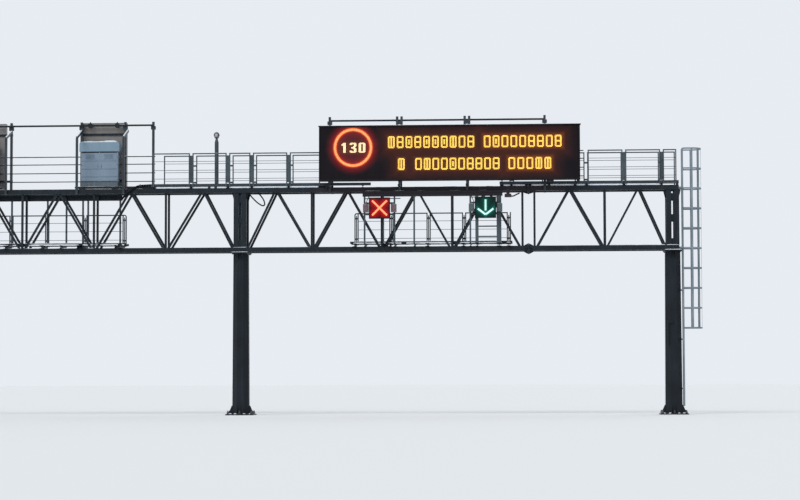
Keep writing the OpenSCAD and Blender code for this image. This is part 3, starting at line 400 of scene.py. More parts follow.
def red_glows(tree, x, z):
    dx = apart(tree, x, SIGNAL_X[0])
    dz = apart(tree, z, 7.378)
    off = times(tree, apart(tree, dx, dz), DIAGONAL)
    reach = minus(tree, maths(tree, "MAXIMUM", dx, dz), 0.26)
    far = maths(tree, "MAXIMUM", minus(tree, off, 0.04), reach)
    return [(halo(tree, far, 0.30), (0.50, 0.002, 0.007)), (halo(tree, far, 0.05), (0.55, 0.016, 0.008))]


def green_glows(tree, x, z):
    stem = rectangle(tree, x, z, ARROW_X, 7.42, 0.04, 0.235)
    dx = apart(tree, x, ARROW_X)
    slope = maths(tree, "ADD", times(tree, dx, 0.757), 7.11)
    off = maths(tree, "ABSOLUTE", times(tree, minus(tree, z, slope), 0.797))
    chevron = maths(tree, "MAXIMUM", minus(tree, off, 0.04), minus(tree, dx, 0.29))
    far = maths(tree, "MINIMUM", stem, chevron)
    return [(halo(tree, far, 0.32), (0.001, 0.062, 0.048)), (halo(tree, far, 0.05), (0.01, 0.20, 0.16))]


def no_glows(tree, x, z):
    return []


FACE = display("display face", (0.0105, 0.0070, 0.0110), face_glows)
RED_FACE = display("red display", (0.030, 0.002, 0.004), red_glows, 0.0365, 0.176,
                   (SIGNAL_FACE, SIGNAL_X[0], SIGNAL_Z, 0.335, 0.335))
GREEN_FACE = display("green display", (0.0015, 0.013, 0.012), green_glows, 0.0365, 0.176,
                     (SIGNAL_FACE, SIGNAL_X[1], SIGNAL_Z, 0.335, 0.335))
BACK_FACE = display("rear display", (0.008, 0.008, 0.009), no_glows, 0.025, 0.4)
AMBER = lamp("amber diode", (1.0, 0.66, 0.115), 2.1)
PALE = lamp("pale diode", (1.0, 0.74, 0.43), 1.9)
GOLD = lamp("ring middle diode", (1.0, 0.47, 0.18), 1.75)
ORANGE = lamp("ring diode", (1.0, 0.24, 0.07), 1.5)
CROSS = lamp("cross diode", (1.0, 0.38, 0.17), 1.6)
ARROW = lamp("arrow diode", (0.62, 1.0, 0.92), 1.2)

# Which nodes wear which look; all the others wear the truss paint
LOOKS = (
    (LEG, "left_leg middle_leg right_leg base_plates base_fins leg_fittings"),
    (EDGE, "deck_edges masts mast_struts mast_braces"),
    (RAIL, "near_railing far_railing lower_railings signal_hangers camera_mast"),
    (ZINC, "deck_grating right_ladder right_hoops right_cage left_ladder left_hoops left_cage"),
    (CASE, "sign_housing"),
    (FACE, "sign_face"),
    (RED_FACE, "red_signal"),
    (GREEN_FACE, "green_signal"),
    (LAMP, "signal_lamps"),
    (PANEL, "back_signs"),
    (CABINET, "rear_cabinets"),
    (DOME, "dome_camera"),
    (BOX, "junction_boxes"),
    (CABLE, "cables"),
)
look_of = {name: look for look, names in LOOKS for name in names.split()}
for name, obj in nodes.items():
    obj.data.materials.clear()
    obj.data.materials.append(look_of.get(name, STEEL))


# Pieces

def add_piece(name, bm, mat):
    bmesh.ops.recalc_face_normals(bm, faces=bm.faces)
    mesh = bpy.data.meshes.new(name)
    bm.to_mesh(mesh)
    bm.free()
    mesh.materials.append(mat)
    obj = bpy.data.objects.new(name, mesh)
    bpy.context.collection.objects.link(obj)
    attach(obj, "root")
    return obj


def add_box(bm, lo, hi, bevel=0.0, place=None):
    size = [b - a for a, b in zip(lo, hi)]
    middle = [(a + b) / 2 for a, b in zip(lo, hi)]
    matrix = Matrix.Translation(middle) @ Matrix.Diagonal((*size, 1.0))
    if place:
        matrix = place @ matrix
    made = bmesh.ops.create_cube(bm, size=1.0, matrix=matrix)
    if bevel:
        edges = list({e for v in made["verts"] for e in v.link_edges})
        bmesh.ops.bevel(bm, geom=edges, offset=bevel, segments=1, affect="EDGES", clamp_overlap=True)


def skin(bm, rings):
    """Faces between rings of points, and one at each end."""
    for a, b in zip(rings, rings[1:]):
        for k in range(len(a)):
            m = (k + 1) % len(a)
            bm.faces.new((a[k], a[m], b[m], b[k]))
    bm.faces.new(list(reversed(rings[0])))
    bm.faces.new(rings[-1])


def circle(bm, centre, u, v, radius, sides, turn=0.0):
    """Ring of points round a centre, from the direction of u towards v."""
    angles = [turn + 2 * math.pi * k / sides for k in range(sides)]
    return [bm.verts.new(centre + radius * (math.cos(a) * u + math.sin(a) * v)) for a in angles]


def next_side(along, side):
    """Direction across a line, without a twist from the one before."""
    if side is None:
        return along.orthogonal().normalized()
    return (side - along * side.dot(along)).normalized()


def add_turned(bm, origin, axis, profile, sides, turn=0.0):
    """Closed turned solid: a list of (distance along the axis, radius)."""
    axis = Vector(axis).normalized()
    u = axis.orthogonal().normalized()
    v = axis.cross(u)
    origin = Vector(origin)
    skin(bm, [circle(bm, origin + axis * along, u, v, radius, sides, turn) for along, radius in profile])


def add_tube(bm, points, radius, sides):
    """Round bar through points, with closed ends."""
    points = [Vector(p) for p in points]
    rings = []
    side = None
    for i, p in enumerate(points):
        along = (points[min(i + 1, len(points) - 1)] - points[max(i - 1, 0)]).normalized()
        side = next_side(along, side)
        rings.append(circle(bm, p, side, along.cross(side), radius, sides))
    skin(bm, rings)


def add_nut(bm, origin, axis, r, h, stud=0.0, turn=0.0):
    """Washer and six-sided nut or bolt head, with the end of the bolt if it shows."""
    w = 0.18 * h
    add_turned(bm, origin, axis, [(-0.0005, 1.2 * r), (0.7 * w, 1.2 * r), (w, 1.12 * r)], 16)
    add_turned(bm, origin, axis, [(0.9 * w, 0.94 * r), (w + 0.1 * h, r), (w + 0.85 * h, r),
                                  (w + h, 0.84 * r)], 6, turn)
    if stud:
        top = w + h
        add_turned(bm, origin, axis, [(0.8 * top, 0.52 * r), (top + 0.85 * stud, 0.52 * r),
                                      (top + stud, 0.40 * r)], 12)


def wobble(a, b, c, scale=1.0):
    return noise.noise(Vector((a * scale + 3.7, b * scale - 1.9, c * scale + 7.3)))


def snow_along(bm, a, b, width, across=(0, 1, 0), up=UP, height=0.02, step=0.09):
    """Drift of snow on a bar from a to b, with a soft crown and ragged edges."""
    a, b, across, up = Vector(a), Vector(b), Vector(across), Vector(up)
    run = (b - a).length
    n = max(4, int(run / step))
    rings = []
    for i in range(n + 1):
        t = i / n
        p = a.lerp(b, t)
        end = min(1.0, min(t, 1 - t) * run / max(0.06, 1.5 * height) + 0.08) ** 0.5
        h = height * end * (0.75 + 0.55 * wobble(p.x, p.y, p.z, 3.1) + 0.25 * wobble(p.x, p.y, p.z, 11.0))
        h = max(h, 0.0015)
        left = width / 2 * (0.94 + 0.12 * wobble(p.x, p.y, p.z + 5, 7.0)) * (0.45 + 0.55 * end)
        right = width / 2 * (0.94 + 0.12 * wobble(p.x, p.y, p.z - 5, 7.0)) * (0.45 + 0.55 * end)
        lean = 0.25 * wobble(p.x, p.y + 9, p.z, 4.0)
        outline = ((-left, -0.001), (-left, 0.35 * h), (-0.72 * left, 0.82 * h), (lean * left, h),
                   (0.72 * right, 0.82 * h), (right, 0.35 * h), (right, -0.001))
        rings.append([bm.verts.new(p + across * s + up * q) for s, q in outline])
    skin(bm, rings)


def snow_line(bm, x0, x1, y, z, width, height, step=0.09):
    """One drift along x."""
    snow_along(bm, (x0, y, z), (x1, y, z), width, height=height, step=step)


def snow_patches(bm, rng, x0, x1, y, z, width, height, cover, length, across=(0, 1, 0), up=UP):
    """Broken line of drifts along x, with bare steel between them."""
    x = x0 + rng.random() * length * (1 - cover)
    while x < x1 - 0.1:
        part = length * cover * (0.6 + 0.8 * rng.random())
        end = min(x + part, x1)
        if end - x > 0.1:
            snow_along(bm, (x, y, z), (end, y, z), width, across, up, height * (0.75 + 0.4 * rng.random()))
        x = end + length * (1 - cover) * (0.5 + rng.random()) + 0.02


def snow_blob(bm, rng, cx, cy, z, rx, ry, height):
    """Low heap with a ragged outline."""
    sides = 20
    seed = rng.random() * 50
    rings = []
    for f, q in ((1.0, -0.001), (0.97, 0.22), (0.84, 0.62), (0.55, 0.9), (0.25, 1.0)):
        ring = []
        for k in range(sides):
            a = 2 * math.pi * k / sides
            c, s = math.cos(a), math.sin(a)
            edge = 1.0 - 0.16 * (1 + wobble(c, s, seed, 1.7))
            wave = 1 + 0.2 * wobble(c * f, s * f, seed + 4, 2.3)
            h = height * q * wave if q > 0 else q
            ring.append(bm.verts.new((cx + rx * f * edge * c, cy + ry * f * edge * s, z + h)))
        rings.append(ring)
    skin(bm, rings)


def snow_quilt(bm, x0, x1, y0, y1, z, height, step=0.08):
    """Even blanket on a flat top, rounded at its edges, with small waves."""
    nx = max(4, int((x1 - x0) / step))
    ny = max(4, int((y1 - y0) / step))
    grid = []
    for i in range(nx + 1):
        row = []
        for j in range(ny + 1):
            u, v = i / nx, j / ny
            x, y = x0 + u * (x1 - x0), y0 + v * (y1 - y0)
            away = min(x - x0, x1 - x, y - y0, y1 - y)
            edge = min(1.0, away / 0.05)
            h = height * (0.8 + 0.35 * wobble(x, y, z, 2.6) + 0.15 * wobble(x, y, z, 9.0))
            h *= 0.3 + 0.7 * math.sqrt(max(0.0, 1 - (1 - edge) ** 2))
            row.append(bm.verts.new((x, y, z + max(h, 0.002))))
        grid.append(row)
    under = [[bm.verts.new((v.co.x, v.co.y, z - 0.001)) for v in row] for row in (grid[0], grid[-1])]
    for i in range(nx):
        for j in range(ny):
            bm.faces.new((grid[i][j], grid[i + 1][j], grid[i + 1][j + 1], grid[i][j + 1]))
    for row, low in ((grid[0], under[0]), (grid[-1], under[1])):
        for j in range(ny):
            bm.faces.new((row[j], row[j + 1], low[j + 1], low[j]))
    sides = {}
    for j in (0, ny):
        line = [under[0][j]]
        for i in range(1, nx):
            v = grid[i][j]
            line.append(bm.verts.new((v.co.x, v.co.y, z - 0.001)))
        line.append(under[1][j])
        sides[j] = line
        for i in range(nx):
            bm.faces.new((grid[i][j], grid[i + 1][j], line[i + 1], line[i]))
    bm.faces.new(under[0] + sides[ny][1:-1] + list(reversed(under[1])) + list(reversed(sides[0][1:-1])))


def snow_on_chords(rng):
    bm = bmesh.new()
    for s in (-1, 1):
        y = s * HALF_GAP
        thick = 0.026 if s < 0 else 0.02
        for x0, x1, cover, h in ((-15.68, -15.24, 0.95, thick), (-15.2, -10.82, 0.85, thick),
                                 (-10.72, -5.3, 0.8, thick), (-5.2, -0.3, 0.35, 0.012),
                                 (0.3, 10.2, 0.3, 0.011), (10.5, 13.1, 0.55, 0.016),
                                 (13.2, 15.24, 0.97, thick), (15.26, 15.68, 0.95, thick)):
            snow_patches(bm, rng, x0, x1, y, LOW_TOP, CHORD_WIDTH, h, cover, 1.1)
        for x in LEGS:
            snow_line(bm, x - 0.31, x + 0.31, s * 0.450, HEAD_TOP, 0.044, 0.022, 0.05)
            snow_line(bm, x - 0.24, x + 0.24, s * 0.4125, LOW_TOP, 0.024, 0.02, 0.05)
    add_piece("snow_bottom_chords", bm, SNOW)


def snow_under_deck():
    bm = bmesh.new()
    for x0, x1 in ((-15.20, -10.84), (-3.14, 2.88), (9.44, 10.30), (10.44, 15.20)):
        stops = sorted(x for x in JOINTS if x0 < x < x1)
        for a, b in zip([x0] + stops, stops + [x1]):
            if b - a > 0.3:
                for s in (-1, 1):
                    snow_along(bm, (a + 0.042, s * 0.402, 8.192), (b - 0.042, s * 0.402, 8.192), 0.062,
                               UP, (0, s, 0), 0.021, 0.05)
    add_piece("snow_under_deck", bm, SNOW)


def snow_on_railings(rng):
    bm = bmesh.new()
    for s in (-1, 1):
        for x0, x1 in ((3.4, 9.2), (-10.6, -3.4)):
            snow_patches(bm, rng, x0, x1, s * HALF_GAP, HIGH_TOP, CHORD_WIDTH, 0.014, 0.5, 0.9)
    for rails, y in ((NEAR_RAILS, -RAIL_Y), (FAR_RAILS, RAIL_Y)):
        for x0, x1 in rails:
            snow_patches(bm, rng, x0 + 0.05, x1 - 0.05, y, RAIL_TOP, 0.034, 0.009, 0.5, 0.5)
    for z, h, cover in ((9.43, 0.012, 0.85), (9.15, 0.005, 0.5)):
        snow_patches(bm, rng, -12.30, -3.26, 0.41, z, 0.026, h, cover, 1.3)
        snow_patches(bm, rng, 3.26, 12.30, -0.41, z, 0.026, h, cover, 1.3)
    add_piece("snow_railings", bm, SNOW)


def snow_on_lower_decks(rng):
    bm = bmesh.new()
    for x0, x1, cover in ((-9.75, -8.0, 0.6), (-7.9, -5.85, 1.0), (-5.8, -4.2, 0.5), (4.0, 9.75, 0.55)):
        for s in (-1, 1):
            snow_patches(bm, rng, x0, x1, s * 0.275, 6.21, 0.036, 0.014, cover, 1.0)
            snow_patches(bm, rng, x0 + 0.02, x1, s * 0.292, 6.150, 0.058, 0.008, 0.97, 2.0,
                         UP, (0, s, 0))
    for k in range(26):
        x = rng.uniform(-9.5, -4.4) if k % 2 else rng.uniform(4.3, 9.5)
        snow_blob(bm, rng, x, rng.uniform(-0.08, 0.08), 6.185, rng.uniform(0.2, 0.45),
                  rng.uniform(0.09, 0.15), 0.016)
    add_piece("snow_lower_decks", bm, SNOW)


def snow_on_deck(rng):
    bm = bmesh.new()
    spans = ((-15.0, -10.9), (-3.2, 3.2), (9.45, 15.0))
    for k in range(44):
        x0, x1 = spans[k % 3]
        x = rng.uniform(x0 + 0.3, x1 - 0.3)
        if abs(x - CAMERA[0]) < 0.6:
            continue
        snow_blob(bm, rng, x, rng.choice((-1, 1)) * rng.uniform(0.12, 0.26), 8.315, rng.uniform(0.15, 0.5),
                  rng.uniform(0.06, 0.13), 0.014)
    add_piece("snow_deck", bm, SNOW)


def snow_on_braces(rng):
    """Snow on the masts' braces, their top bars and the signals' beams."""
    bm = bmesh.new()
    for x, side in ((3.26, 1), (10.965, 1), (-10.40, -1), (-8.525, -1), (-5.93, -1), (-4.225, -1)):
        a = Vector((x, side * 0.490, 10.0755))
        b = Vector((x, -side * 0.405, 10.4027))
        along = (b - a).normalized()
        up = Vector((1, 0, 0)).cross(along)
        if up.z < 0:
            up.negate()
        snow_along(bm, a, b, 0.052, across=(1, 0, 0), up=up, height=0.02, step=0.05)
    for x0, x1, y in ((3.25, 10.95, -0.395), (-12.15, -3.30, 0.395)):
        snow_patches(bm, rng, x0, x1, y, MAST_TOP, 0.046, 0.010, 0.55, 0.8)
    for x0, x1 in ((4.49, 5.14), (5.56, 5.96)):
        snow_line(bm, x0, x1, -BEAM_Y, BEAM_TOP, 0.10, 0.018)
    snow_patches(bm, rng, 6.2, 9.4, -BEAM_Y, BEAM_TOP, 0.10, 0.012, 0.4, 0.9)
    snow_patches(bm, rng, -9.4, -4.5, BEAM_Y, BEAM_TOP, 0.10, 0.016, 0.6, 0.9)
    add_piece("snow_braces", bm, SNOW)


def snow_on_signs():
    """Blankets on the signs, cabinets and signals."""
    bm = bmesh.new()
    snow_quilt(bm, SIGN_X[0] - 0.02, SIGN_X[1] + 0.02, -1.010, SIGN_BACK - 0.005, 10.317, 0.030, 0.10)
    add_piece("snow_sign", bm, SNOW)

    bm = bmesh.new()
    for x in BACK_SIGN_X:
        snow_quilt(bm, x - 0.835, x + 0.835, 0.555, 0.745, 10.675, 0.012)
    add_piece("snow_back_signs", bm, SNOW)

    bm = bmesh.new()
    for x in CABINET_X:
        snow_quilt(bm, x - CABINET_HALF, x + CABINET_HALF, 0.072, 0.390, 9.918, 0.068)
        snow_line(bm, x - 0.88, x + 0.88, 0.102, 8.30, 0.012, 0.010)
    add_piece("snow_cabinets", bm, SNOW)

    bm = bmesh.new()
    for x in SIGNAL_X:
        snow_quilt(bm, x - 0.355, x + 0.355, SIGNAL_FRONT + 0.006, SIGNAL_BACK - 0.005, SIGNAL_TOP,
                   0.020, 0.05)
        for s in (-1, 1):
            c = x + s * LAMP_OFF
            snow_quilt(bm, c - 0.092, c + 0.092, -0.690, -0.550, LAMP_TOP, 0.014, 0.03)
    add_piece("snow_signals", bm, SNOW)


def snow_on_feet(rng):
    bm = bmesh.new()
    for x in LEGS:
        for a in range(8):
            turn = math.radians(22.5 + 45 * a)
            cx, cy = x + 0.395 * math.cos(turn), 0.395 * math.sin(turn)
            snow_blob(bm, rng, cx, cy, 0.04, rng.uniform(0.06, 0.085), rng.uniform(0.06, 0.085), 0.03)
    add_piece("snow_feet", bm, SNOW)


def make_snow():
    """All the snow; the functions share one row of random draws, so their order is fixed."""
    rng = random.Random(11)
    snow_on_chords(rng)
    snow_under_deck()
    snow_on_railings(rng)
    snow_on_lower_decks(rng)
    snow_on_deck(rng)
    snow_on_braces(rng)
    snow_on_signs()
    snow_on_feet(rng)


def has_joint(x, rails):
    """Whether a joint lies well inside one of the stretches of a railing."""
    return any(x0 + 0.06 < x < x1 - 0.06 for x0, x1 in rails)


def bolt_pair(bm, x, y, z, off, size):
    """Two bolts side by side through the joint of a railing, with a head on each face."""
    for s in (-1, 1):
        for side in (-1, 1):
            add_nut(bm, (x + s * off, y + side * 0.008, z), (0, side, 0), *size)


def make_splice_bolts():
    """Eight bolts through each flange of a splice, with heads on one face and nuts on the other."""
    bm = bmesh.new()
    for x in SPLICES:
        for sy in (-1, 1):
            for z, far, near in ((LOW_MID, 0.1275, 0.075), (HIGH_MID, 0.115, 0.075)):
                for a, b in ((near, far), (far, near)):
                    for ta in (-1, 1):
                        for tb in (-1, 1):
                            at = (sy * HALF_GAP + ta * a, z + tb * b)
                            add_nut(bm, (x - 0.025, *at), (-1, 0, 0), 0.017, 0.014)
                            add_nut(bm, (x + 0.025, *at), (1, 0, 0), 0.017, 0.016, 0.012)
    add_piece("splice_bolts", bm, BOLT)


def make_leg_bolts():
    """Anchors of the feet and bolts of the plates on the legs' heads."""
    bm = bmesh.new()
    for x in LEGS:
        for i in (-1, 0, 1):
            for j in (-1, 0, 1):
                if i or j:
                    at = (x + ANCHOR_OFF * i, ANCHOR_OFF * j)
                    add_turned(bm, (*at, 0.001), UP, [(0, 0.024), (0.150, 0.024), (0.158, 0.019)], 16)
                    add_nut(bm, (*at, 0.04), UP, 0.042, 0.036, 0.0, i + 2 * j)
                    add_nut(bm, (*at, 0.0825), UP, 0.041, 0.026, 0.0, 2 * i + j)
    add_piece("anchor_bolts", bm, BOLT)

    bm = bmesh.new()
    for x in LEGS:
        for i in (-0.27, 0.27):
            for j in (-0.39, -0.29, 0.29, 0.39):
                add_nut(bm, (x + i, j, HEAD_BOTTOM), (0, 0, -1), 0.022, 0.018, 0.015)
    add_piece("head_bolts", bm, BOLT)


def make_railing_bolts():
    """Bolts of the railings' posts and of the walkway's bearers."""
    bm = bmesh.new()
    for rails, y in ((NEAR_RAILS, -RAIL_Y), (FAR_RAILS, RAIL_Y)):
        for x in JOINTS:
            if has_joint(x, rails):
                for z in (DECK_TOP + 0.12, DECK_TOP + 0.73):
                    bolt_pair(bm, x, y, z, 0.024, (0.0105, 0.009, 0.004))
    for x in LOWER_POSTS:
        for z in (LOWER_DECK_Z + 0.215, LOWER_DECK_Z + 0.960):
            bolt_pair(bm, x, RAIL_Y, z, 0.02, (0.009, 0.008, 0.003))
    add_piece("railing_bolts", bm, BOLT)

    bm = bmesh.new()
    for x in JOINTS:
        if abs(x) < 3.3 or abs(x) > 10.9 or x > 9.5:
            for s in (-1, 1):
                for t in (-1, 1):
                    add_nut(bm, (x + t * 0.020, s * 0.452, DECK_Z), UP, 0.010, 0.008, 0.004)
    add_piece("bearer_bolts", bm, BOLT)


def make_joint_strips():
    """Riveted strips over the joints of the railings."""
    bm = bmesh.new()
    for x in JOINTS:
        if has_joint(x, NEAR_RAILS):
            add_box(bm, (x - 0.0465, -0.448, DECK_TOP + 0.030), (x + 0.0465, -0.444, 9.345), 0.001)
            for k in range(14):
                for side in (-1, 1):
                    at = (x + side * 0.034, -0.4475, DECK_TOP + 0.065 + k * 0.070)
                    add_turned(bm, at, FRONT, RIVET, 8)
    add_piece("joint_strips", bm, RAIL)

    bm = bmesh.new()
    for x in LOWER_POSTS:
        add_box(bm, (x - 0.020, 0.442, 6.215), (x + 0.020, 0.446, 7.190), 0.001)
        for k in range(13):
            add_turned(bm, (x, 0.4425, 6.25 + k * 0.075), FRONT, SMALL_RIVET, 8)
    add_piece("lower_joint_strips", bm, RAIL)


def make_cage_rivets():
    for side, name in ((1, "right"), (-1, "left")):
        bm = bmesh.new()
        for z in HOOPS:
            for a in (-90, -45, 0, 45, 90):
                t = math.radians(a)
                out = Vector((side * math.cos(t), math.sin(t), 0))
                at = Vector((side * CAGE_X, 0, z)) + out * CAGE_R
                for dz in (-0.012, 0.012):
                    add_turned(bm, at + Vector((0, 0, dz)), -out, CAGE_RIVET, 8)
        add_piece(name + "_cage_rivets", bm, BOLT)


def add_dot(bm, x, y, z, r):
    add_turned(bm, (x, y + 0.0005, z), FRONT, [(0, r), (0.6 * r, 0.85 * r), (0.85 * r, 0.4 * r)], 6)


def dot_cell(kind):
    """Dots of one cell of the test pattern: a frame of two dots, and a bar inside some of them."""
    dots = []
    for i in range(8):
        for j in range(14):
            edge_dot = i < 2 or i > 5 or j < 2 or j > 11
            middle = 3 <= i <= 4
            bar = (False, 6 <= j <= 7, middle, middle and 4 <= j <= 9)[kind]
            corner = i in (0, 7) and j in (0, 13)
            if (edge_dot or bar) and not corner:
                dots.append((i, j))
    return dots


def make_message():
    """Two rows of a plain test pattern, the ring, and a number in it."""
    rng = random.Random(5)
    for n, (low, _, groups) in enumerate(ROWS):
        bm = bmesh.new()
        for start, count, pitch in groups:
            for c in range(count):
                for i, j in dot_cell(rng.choice((0, 0, 1, 1, 2, 3))):
                    add_dot(bm, start + c * pitch + (i + 0.5) * DOT, FACE_Y, low + (j + 0.5) * DOT, 0.0138)
        add_piece(f"message_row_{n + 1}", bm, AMBER)
    for name, off, mat in (("ring_middle", 0.013, GOLD), ("ring_sides", 0.039, ORANGE)):
        bm = bmesh.new()
        for r in (RING_R - off, RING_R + off):
            count = round(2 * math.pi * r / RING_PITCH)
            for k in range(count):
                a = 2 * math.pi * k / count
                add_dot(bm, RING[0] + r * math.cos(a), FACE_Y, RING[1] + r * math.sin(a), 0.0125)
        add_piece(name, bm, mat)
    one = ("...###..", "..####..", ".#####..", ".#####..") + ("...###..",) * 10
    three = (".######.", "########", "###..###", ".....###", ".....###", "....###.", "..####..", "..#####.",
             "....####", ".....###", ".....###", "###..###", "########", ".######.")
    zero = (".######.", "########") + ("###..###",) * 10 + ("########", ".######.")
    bm = bmesh.new()
    for k, digit in enumerate((one, three, zero)):
        for j, line in enumerate(digit):
            for i, mark in enumerate(line):
                if mark == "#":
                    x = NUMBER_START[0] + k * DIGIT_PITCH + (i + 0.5) * DOT
                    z = NUMBER_START[1] - (j + 0.5) * NUMBER_ROW
                    add_dot(bm, x, FACE_Y, z, 0.0140)
    add_piece("ring_number", bm, PALE)


def make_signal_marks():
    """The cross and the arrow: strokes three dots wide."""
    bm = bmesh.new()
    cx, cz, half = SIGNAL_X[0], 7.3805, 0.252
    n = round(2 * half * math.sqrt(2) / MARK_PITCH)
    for s in (-1, 1):
        for k in range(n + 1):
            t = -1 + 2 * k / n
            for w in STROKE:
                x = cx + half * t + w * MARK_PITCH * DIAGONAL * s
                z = cz + s * half * t - w * MARK_PITCH * DIAGONAL
                add_dot(bm, x, SIGNAL_FACE, z, MARK_DOT)
    add_piece("cross_mark", bm, CROSS)
    bm = bmesh.new()
    count = 12
    for k in range(count):
        for w in STROKE:
            add_dot(bm, ARROW_X + w * MARK_PITCH, SIGNAL_FACE, 7.640 - k * 0.0325, MARK_DOT)
    for s in (-1, 1):
        for k in range(count):
            t = k / (count - 1)
            for w in STROKE:
                x = ARROW_X + s * (0.020 + 0.245 * t) + w * MARK_PITCH * 0.60 * s
                z = 7.138 + 0.185 * t - w * MARK_PITCH * 0.80
                add_dot(bm, x, SIGNAL_FACE, z, MARK_DOT)
    for z in (7.128, 7.143):
        add_dot(bm, ARROW_X, SIGNAL_FACE, z, MARK_DOT)
    add_piece("arrow_mark", bm, ARROW)


def add_louvre(bm, at, angle, half):
    """Slat of a louvre, turned about its long axis."""
    tilt = Matrix.Translation(at) @ Matrix.Rotation(math.radians(angle), 4, "X")
    add_box(bm, [-h for h in half], half, 0.0008, tilt)


def make_sign_back():
    """Doors of the message sign as seen from the back: handles, hinges and louvres."""
    bm = bmesh.new()
    count = 7
    door = (SIGN_X[1] - SIGN_X[0]) / count
    left_ends = [SIGN_X[0] + k * door for k in range(count)]
    y = SIGN_BACK
    for x0 in left_ends:
        for z in (8.75, 9.33, 9.90):
            add_turned(bm, (x0 + 0.035, y + 0.008, z - 0.05), UP,
                       [(0, 0.007), (0.003, 0.009), (0.097, 0.009), (0.1, 0.007)], 12)
            add_box(bm, (x0 + 0.035, y - 0.001, z - 0.04), (x0 + 0.085, y + 0.004, z + 0.04), 0.001)
        for z in (9.05, 9.60):
            hx = x0 + door - 0.075
            add_box(bm, (hx - 0.018, y - 0.001, z - 0.07), (hx + 0.018, y + 0.006, z + 0.07), 0.002)
            add_tube(bm, [(hx, y + 0.006, z + 0.045), (hx, y + 0.026, z + 0.040), (hx, y + 0.030, z + 0.02),
                          (hx, y + 0.030, z - 0.05)], 0.006, 8)
    add_piece("door_fittings", bm, BOLT)
    bm = bmesh.new()
    for x0 in left_ends:
        x = x0 + door / 2
        for base in (8.52, 9.98):
            for n in range(7):
                add_louvre(bm, (x, y + 0.004, base + n * 0.026), 35, (0.17, 0.002, 0.012))
            for a, b in ((-0.185, -0.172), (0.172, 0.185)):
                add_box(bm, (x + a, y - 0.001, base - 0.03), (x + b, y + 0.012, base + 0.19), 0.002)
    add_piece("door_louvres", bm, CASE)


def make_back_displays():
    bm = bmesh.new()
    for x in BACK_SIGN_X:
        columns, rows = 4, 6
        x0, x1, z0, z1 = x - 0.800, x + 0.800, 8.31, 10.63
        w, h = (x1 - x0) / columns, (z1 - z0) / rows
        for i in range(columns):
            for j in range(rows):
                add_box(bm, (x0 + i * w + 0.002, 0.7195, z0 + j * h + 0.002),
                        (x0 + (i + 1) * w - 0.002, 0.7300, z0 + (j + 1) * h - 0.002), 0.002)
    add_piece("rear_displays", bm, BACK_FACE)


def make_cabinet_fittings():
    """Doors, handles and louvres of the two cabinets, thin dark lines across them, and dark vent strips
    with small slots, which also serve as painted shadow under the hoods and above the plinths.
    """
    bm = bmesh.new()
    y = CABINET_FRONT
    for x in CABINET_X:
        add_box(bm, (x - 0.014, y - 0.004, 8.47), (x + 0.014, y + 0.001, 9.575), 0.001)
        for z in (8.55, 9.10, 9.40):
            for s in (-1, 1):
                hx = x + s * CABINET_HALF
                add_turned(bm, (hx, y - 0.007, z - 0.04), UP,
                           [(0, 0.006), (0.003, 0.008), (0.077, 0.008), (0.08, 0.006)], 12)
        for s in (-1, 1):
            hx = x + s * 0.06
            add_box(bm, (hx - 0.015, y - 0.006, 8.98), (hx + 0.015, y + 0.001, 9.12), 0.002)
            grip = ((0.006, 9.09), (0.024, 9.085), (0.027, 9.06), (0.027, 9.0))
            add_tube(bm, [(hx, y - out, z) for out, z in grip], 0.006, 8)
        add_box(bm, (x - 0.010, 0.064, 9.59), (x + 0.010, 0.069, 9.915), 0.001)
    add_piece("cabinet_fittings", bm, CABINET)
    bm = bmesh.new()
    for x in CABINET_X:
        for s in (-1, 1):
            for n in range(6):
                add_louvre(bm, (x + s * 0.34, 0.111, 9.33 + n * 0.03), -35, (0.16, 0.002, 0.013))
    add_piece("cabinet_louvres", bm, CABINET)
    bm = bmesh.new()
    for x in CABINET_X:
        x0, x1 = x - CABINET_HALF, x + CABINET_HALF
        for z in (8.652, 8.934, 9.232):
            add_box(bm, (x0, 0.1135, z - 0.0035), (x1, 0.1165, z + 0.0035), 0.0008)
        # Vent strips under each hood and above each plinth: near-black, so that they also stand in for the
        # shadow of the hood and of the gap over the plinth (painted shadow).
        for z0, z1 in ((9.535, 9.578), (8.482, 8.506)):
            add_box(bm, (x0, 0.1125, z0), (x1, 0.1165, z1), 0.001)
            for k in range(24):
                slot = x + k * 0.0550
                add_box(bm, (slot - 0.640, 0.1095, z0 + 0.004), (slot - 0.636, 0.1130, z1 - 0.004))
    add_piece("cabinet_lines_and_shadow_strips", bm, RUBBER_AND_SHADOW)


def smooth_route(points, n):
    """Points along the smooth curve that the cables of the CAD follow, in metres."""
    out = []
    for i in range(len(points) - 1):
        a, b, c, d = (Vector(points[k]) for k in (max(i - 1, 0), i, i + 1, min(i + 2, len(points) - 1)))
        for k in range(n):
            t = k / n
            out.append(0.5 * (2 * b + (c - a) * t + (2 * a - 5 * b + 4 * c - d) * t * t +
                              (3 * b - a - 3 * c + d) * t * t * t) / 1000)
    out.append(Vector(points[-1]) / 1000)
    return out


def add_hose(bm, points, low, high, pitch=0.016, sides=12):
    """Ribbed hose round a cable, with closed ends."""
    lengths = [0.0]
    for a, b in zip(points, points[1:]):
        lengths.append(lengths[-1] + (b - a).length)
    n = int(lengths[-1] / (pitch / 2))
    rings = []
    side = None
    part = 0
    for i in range(n + 1):
        at = lengths[-1] * i / n
        while part < len(points) - 2 and lengths[part + 1] < at:
            part += 1
        f = (at - lengths[part]) / (lengths[part + 1] - lengths[part])
        along = (points[part + 1] - points[part]).normalized()
        side = next_side(along, side)
        middle = points[part].lerp(points[part + 1], f)
        rings.append(circle(bm, middle, side, along.cross(side), high if i % 2 else low, sides))
    skin(bm, rings)


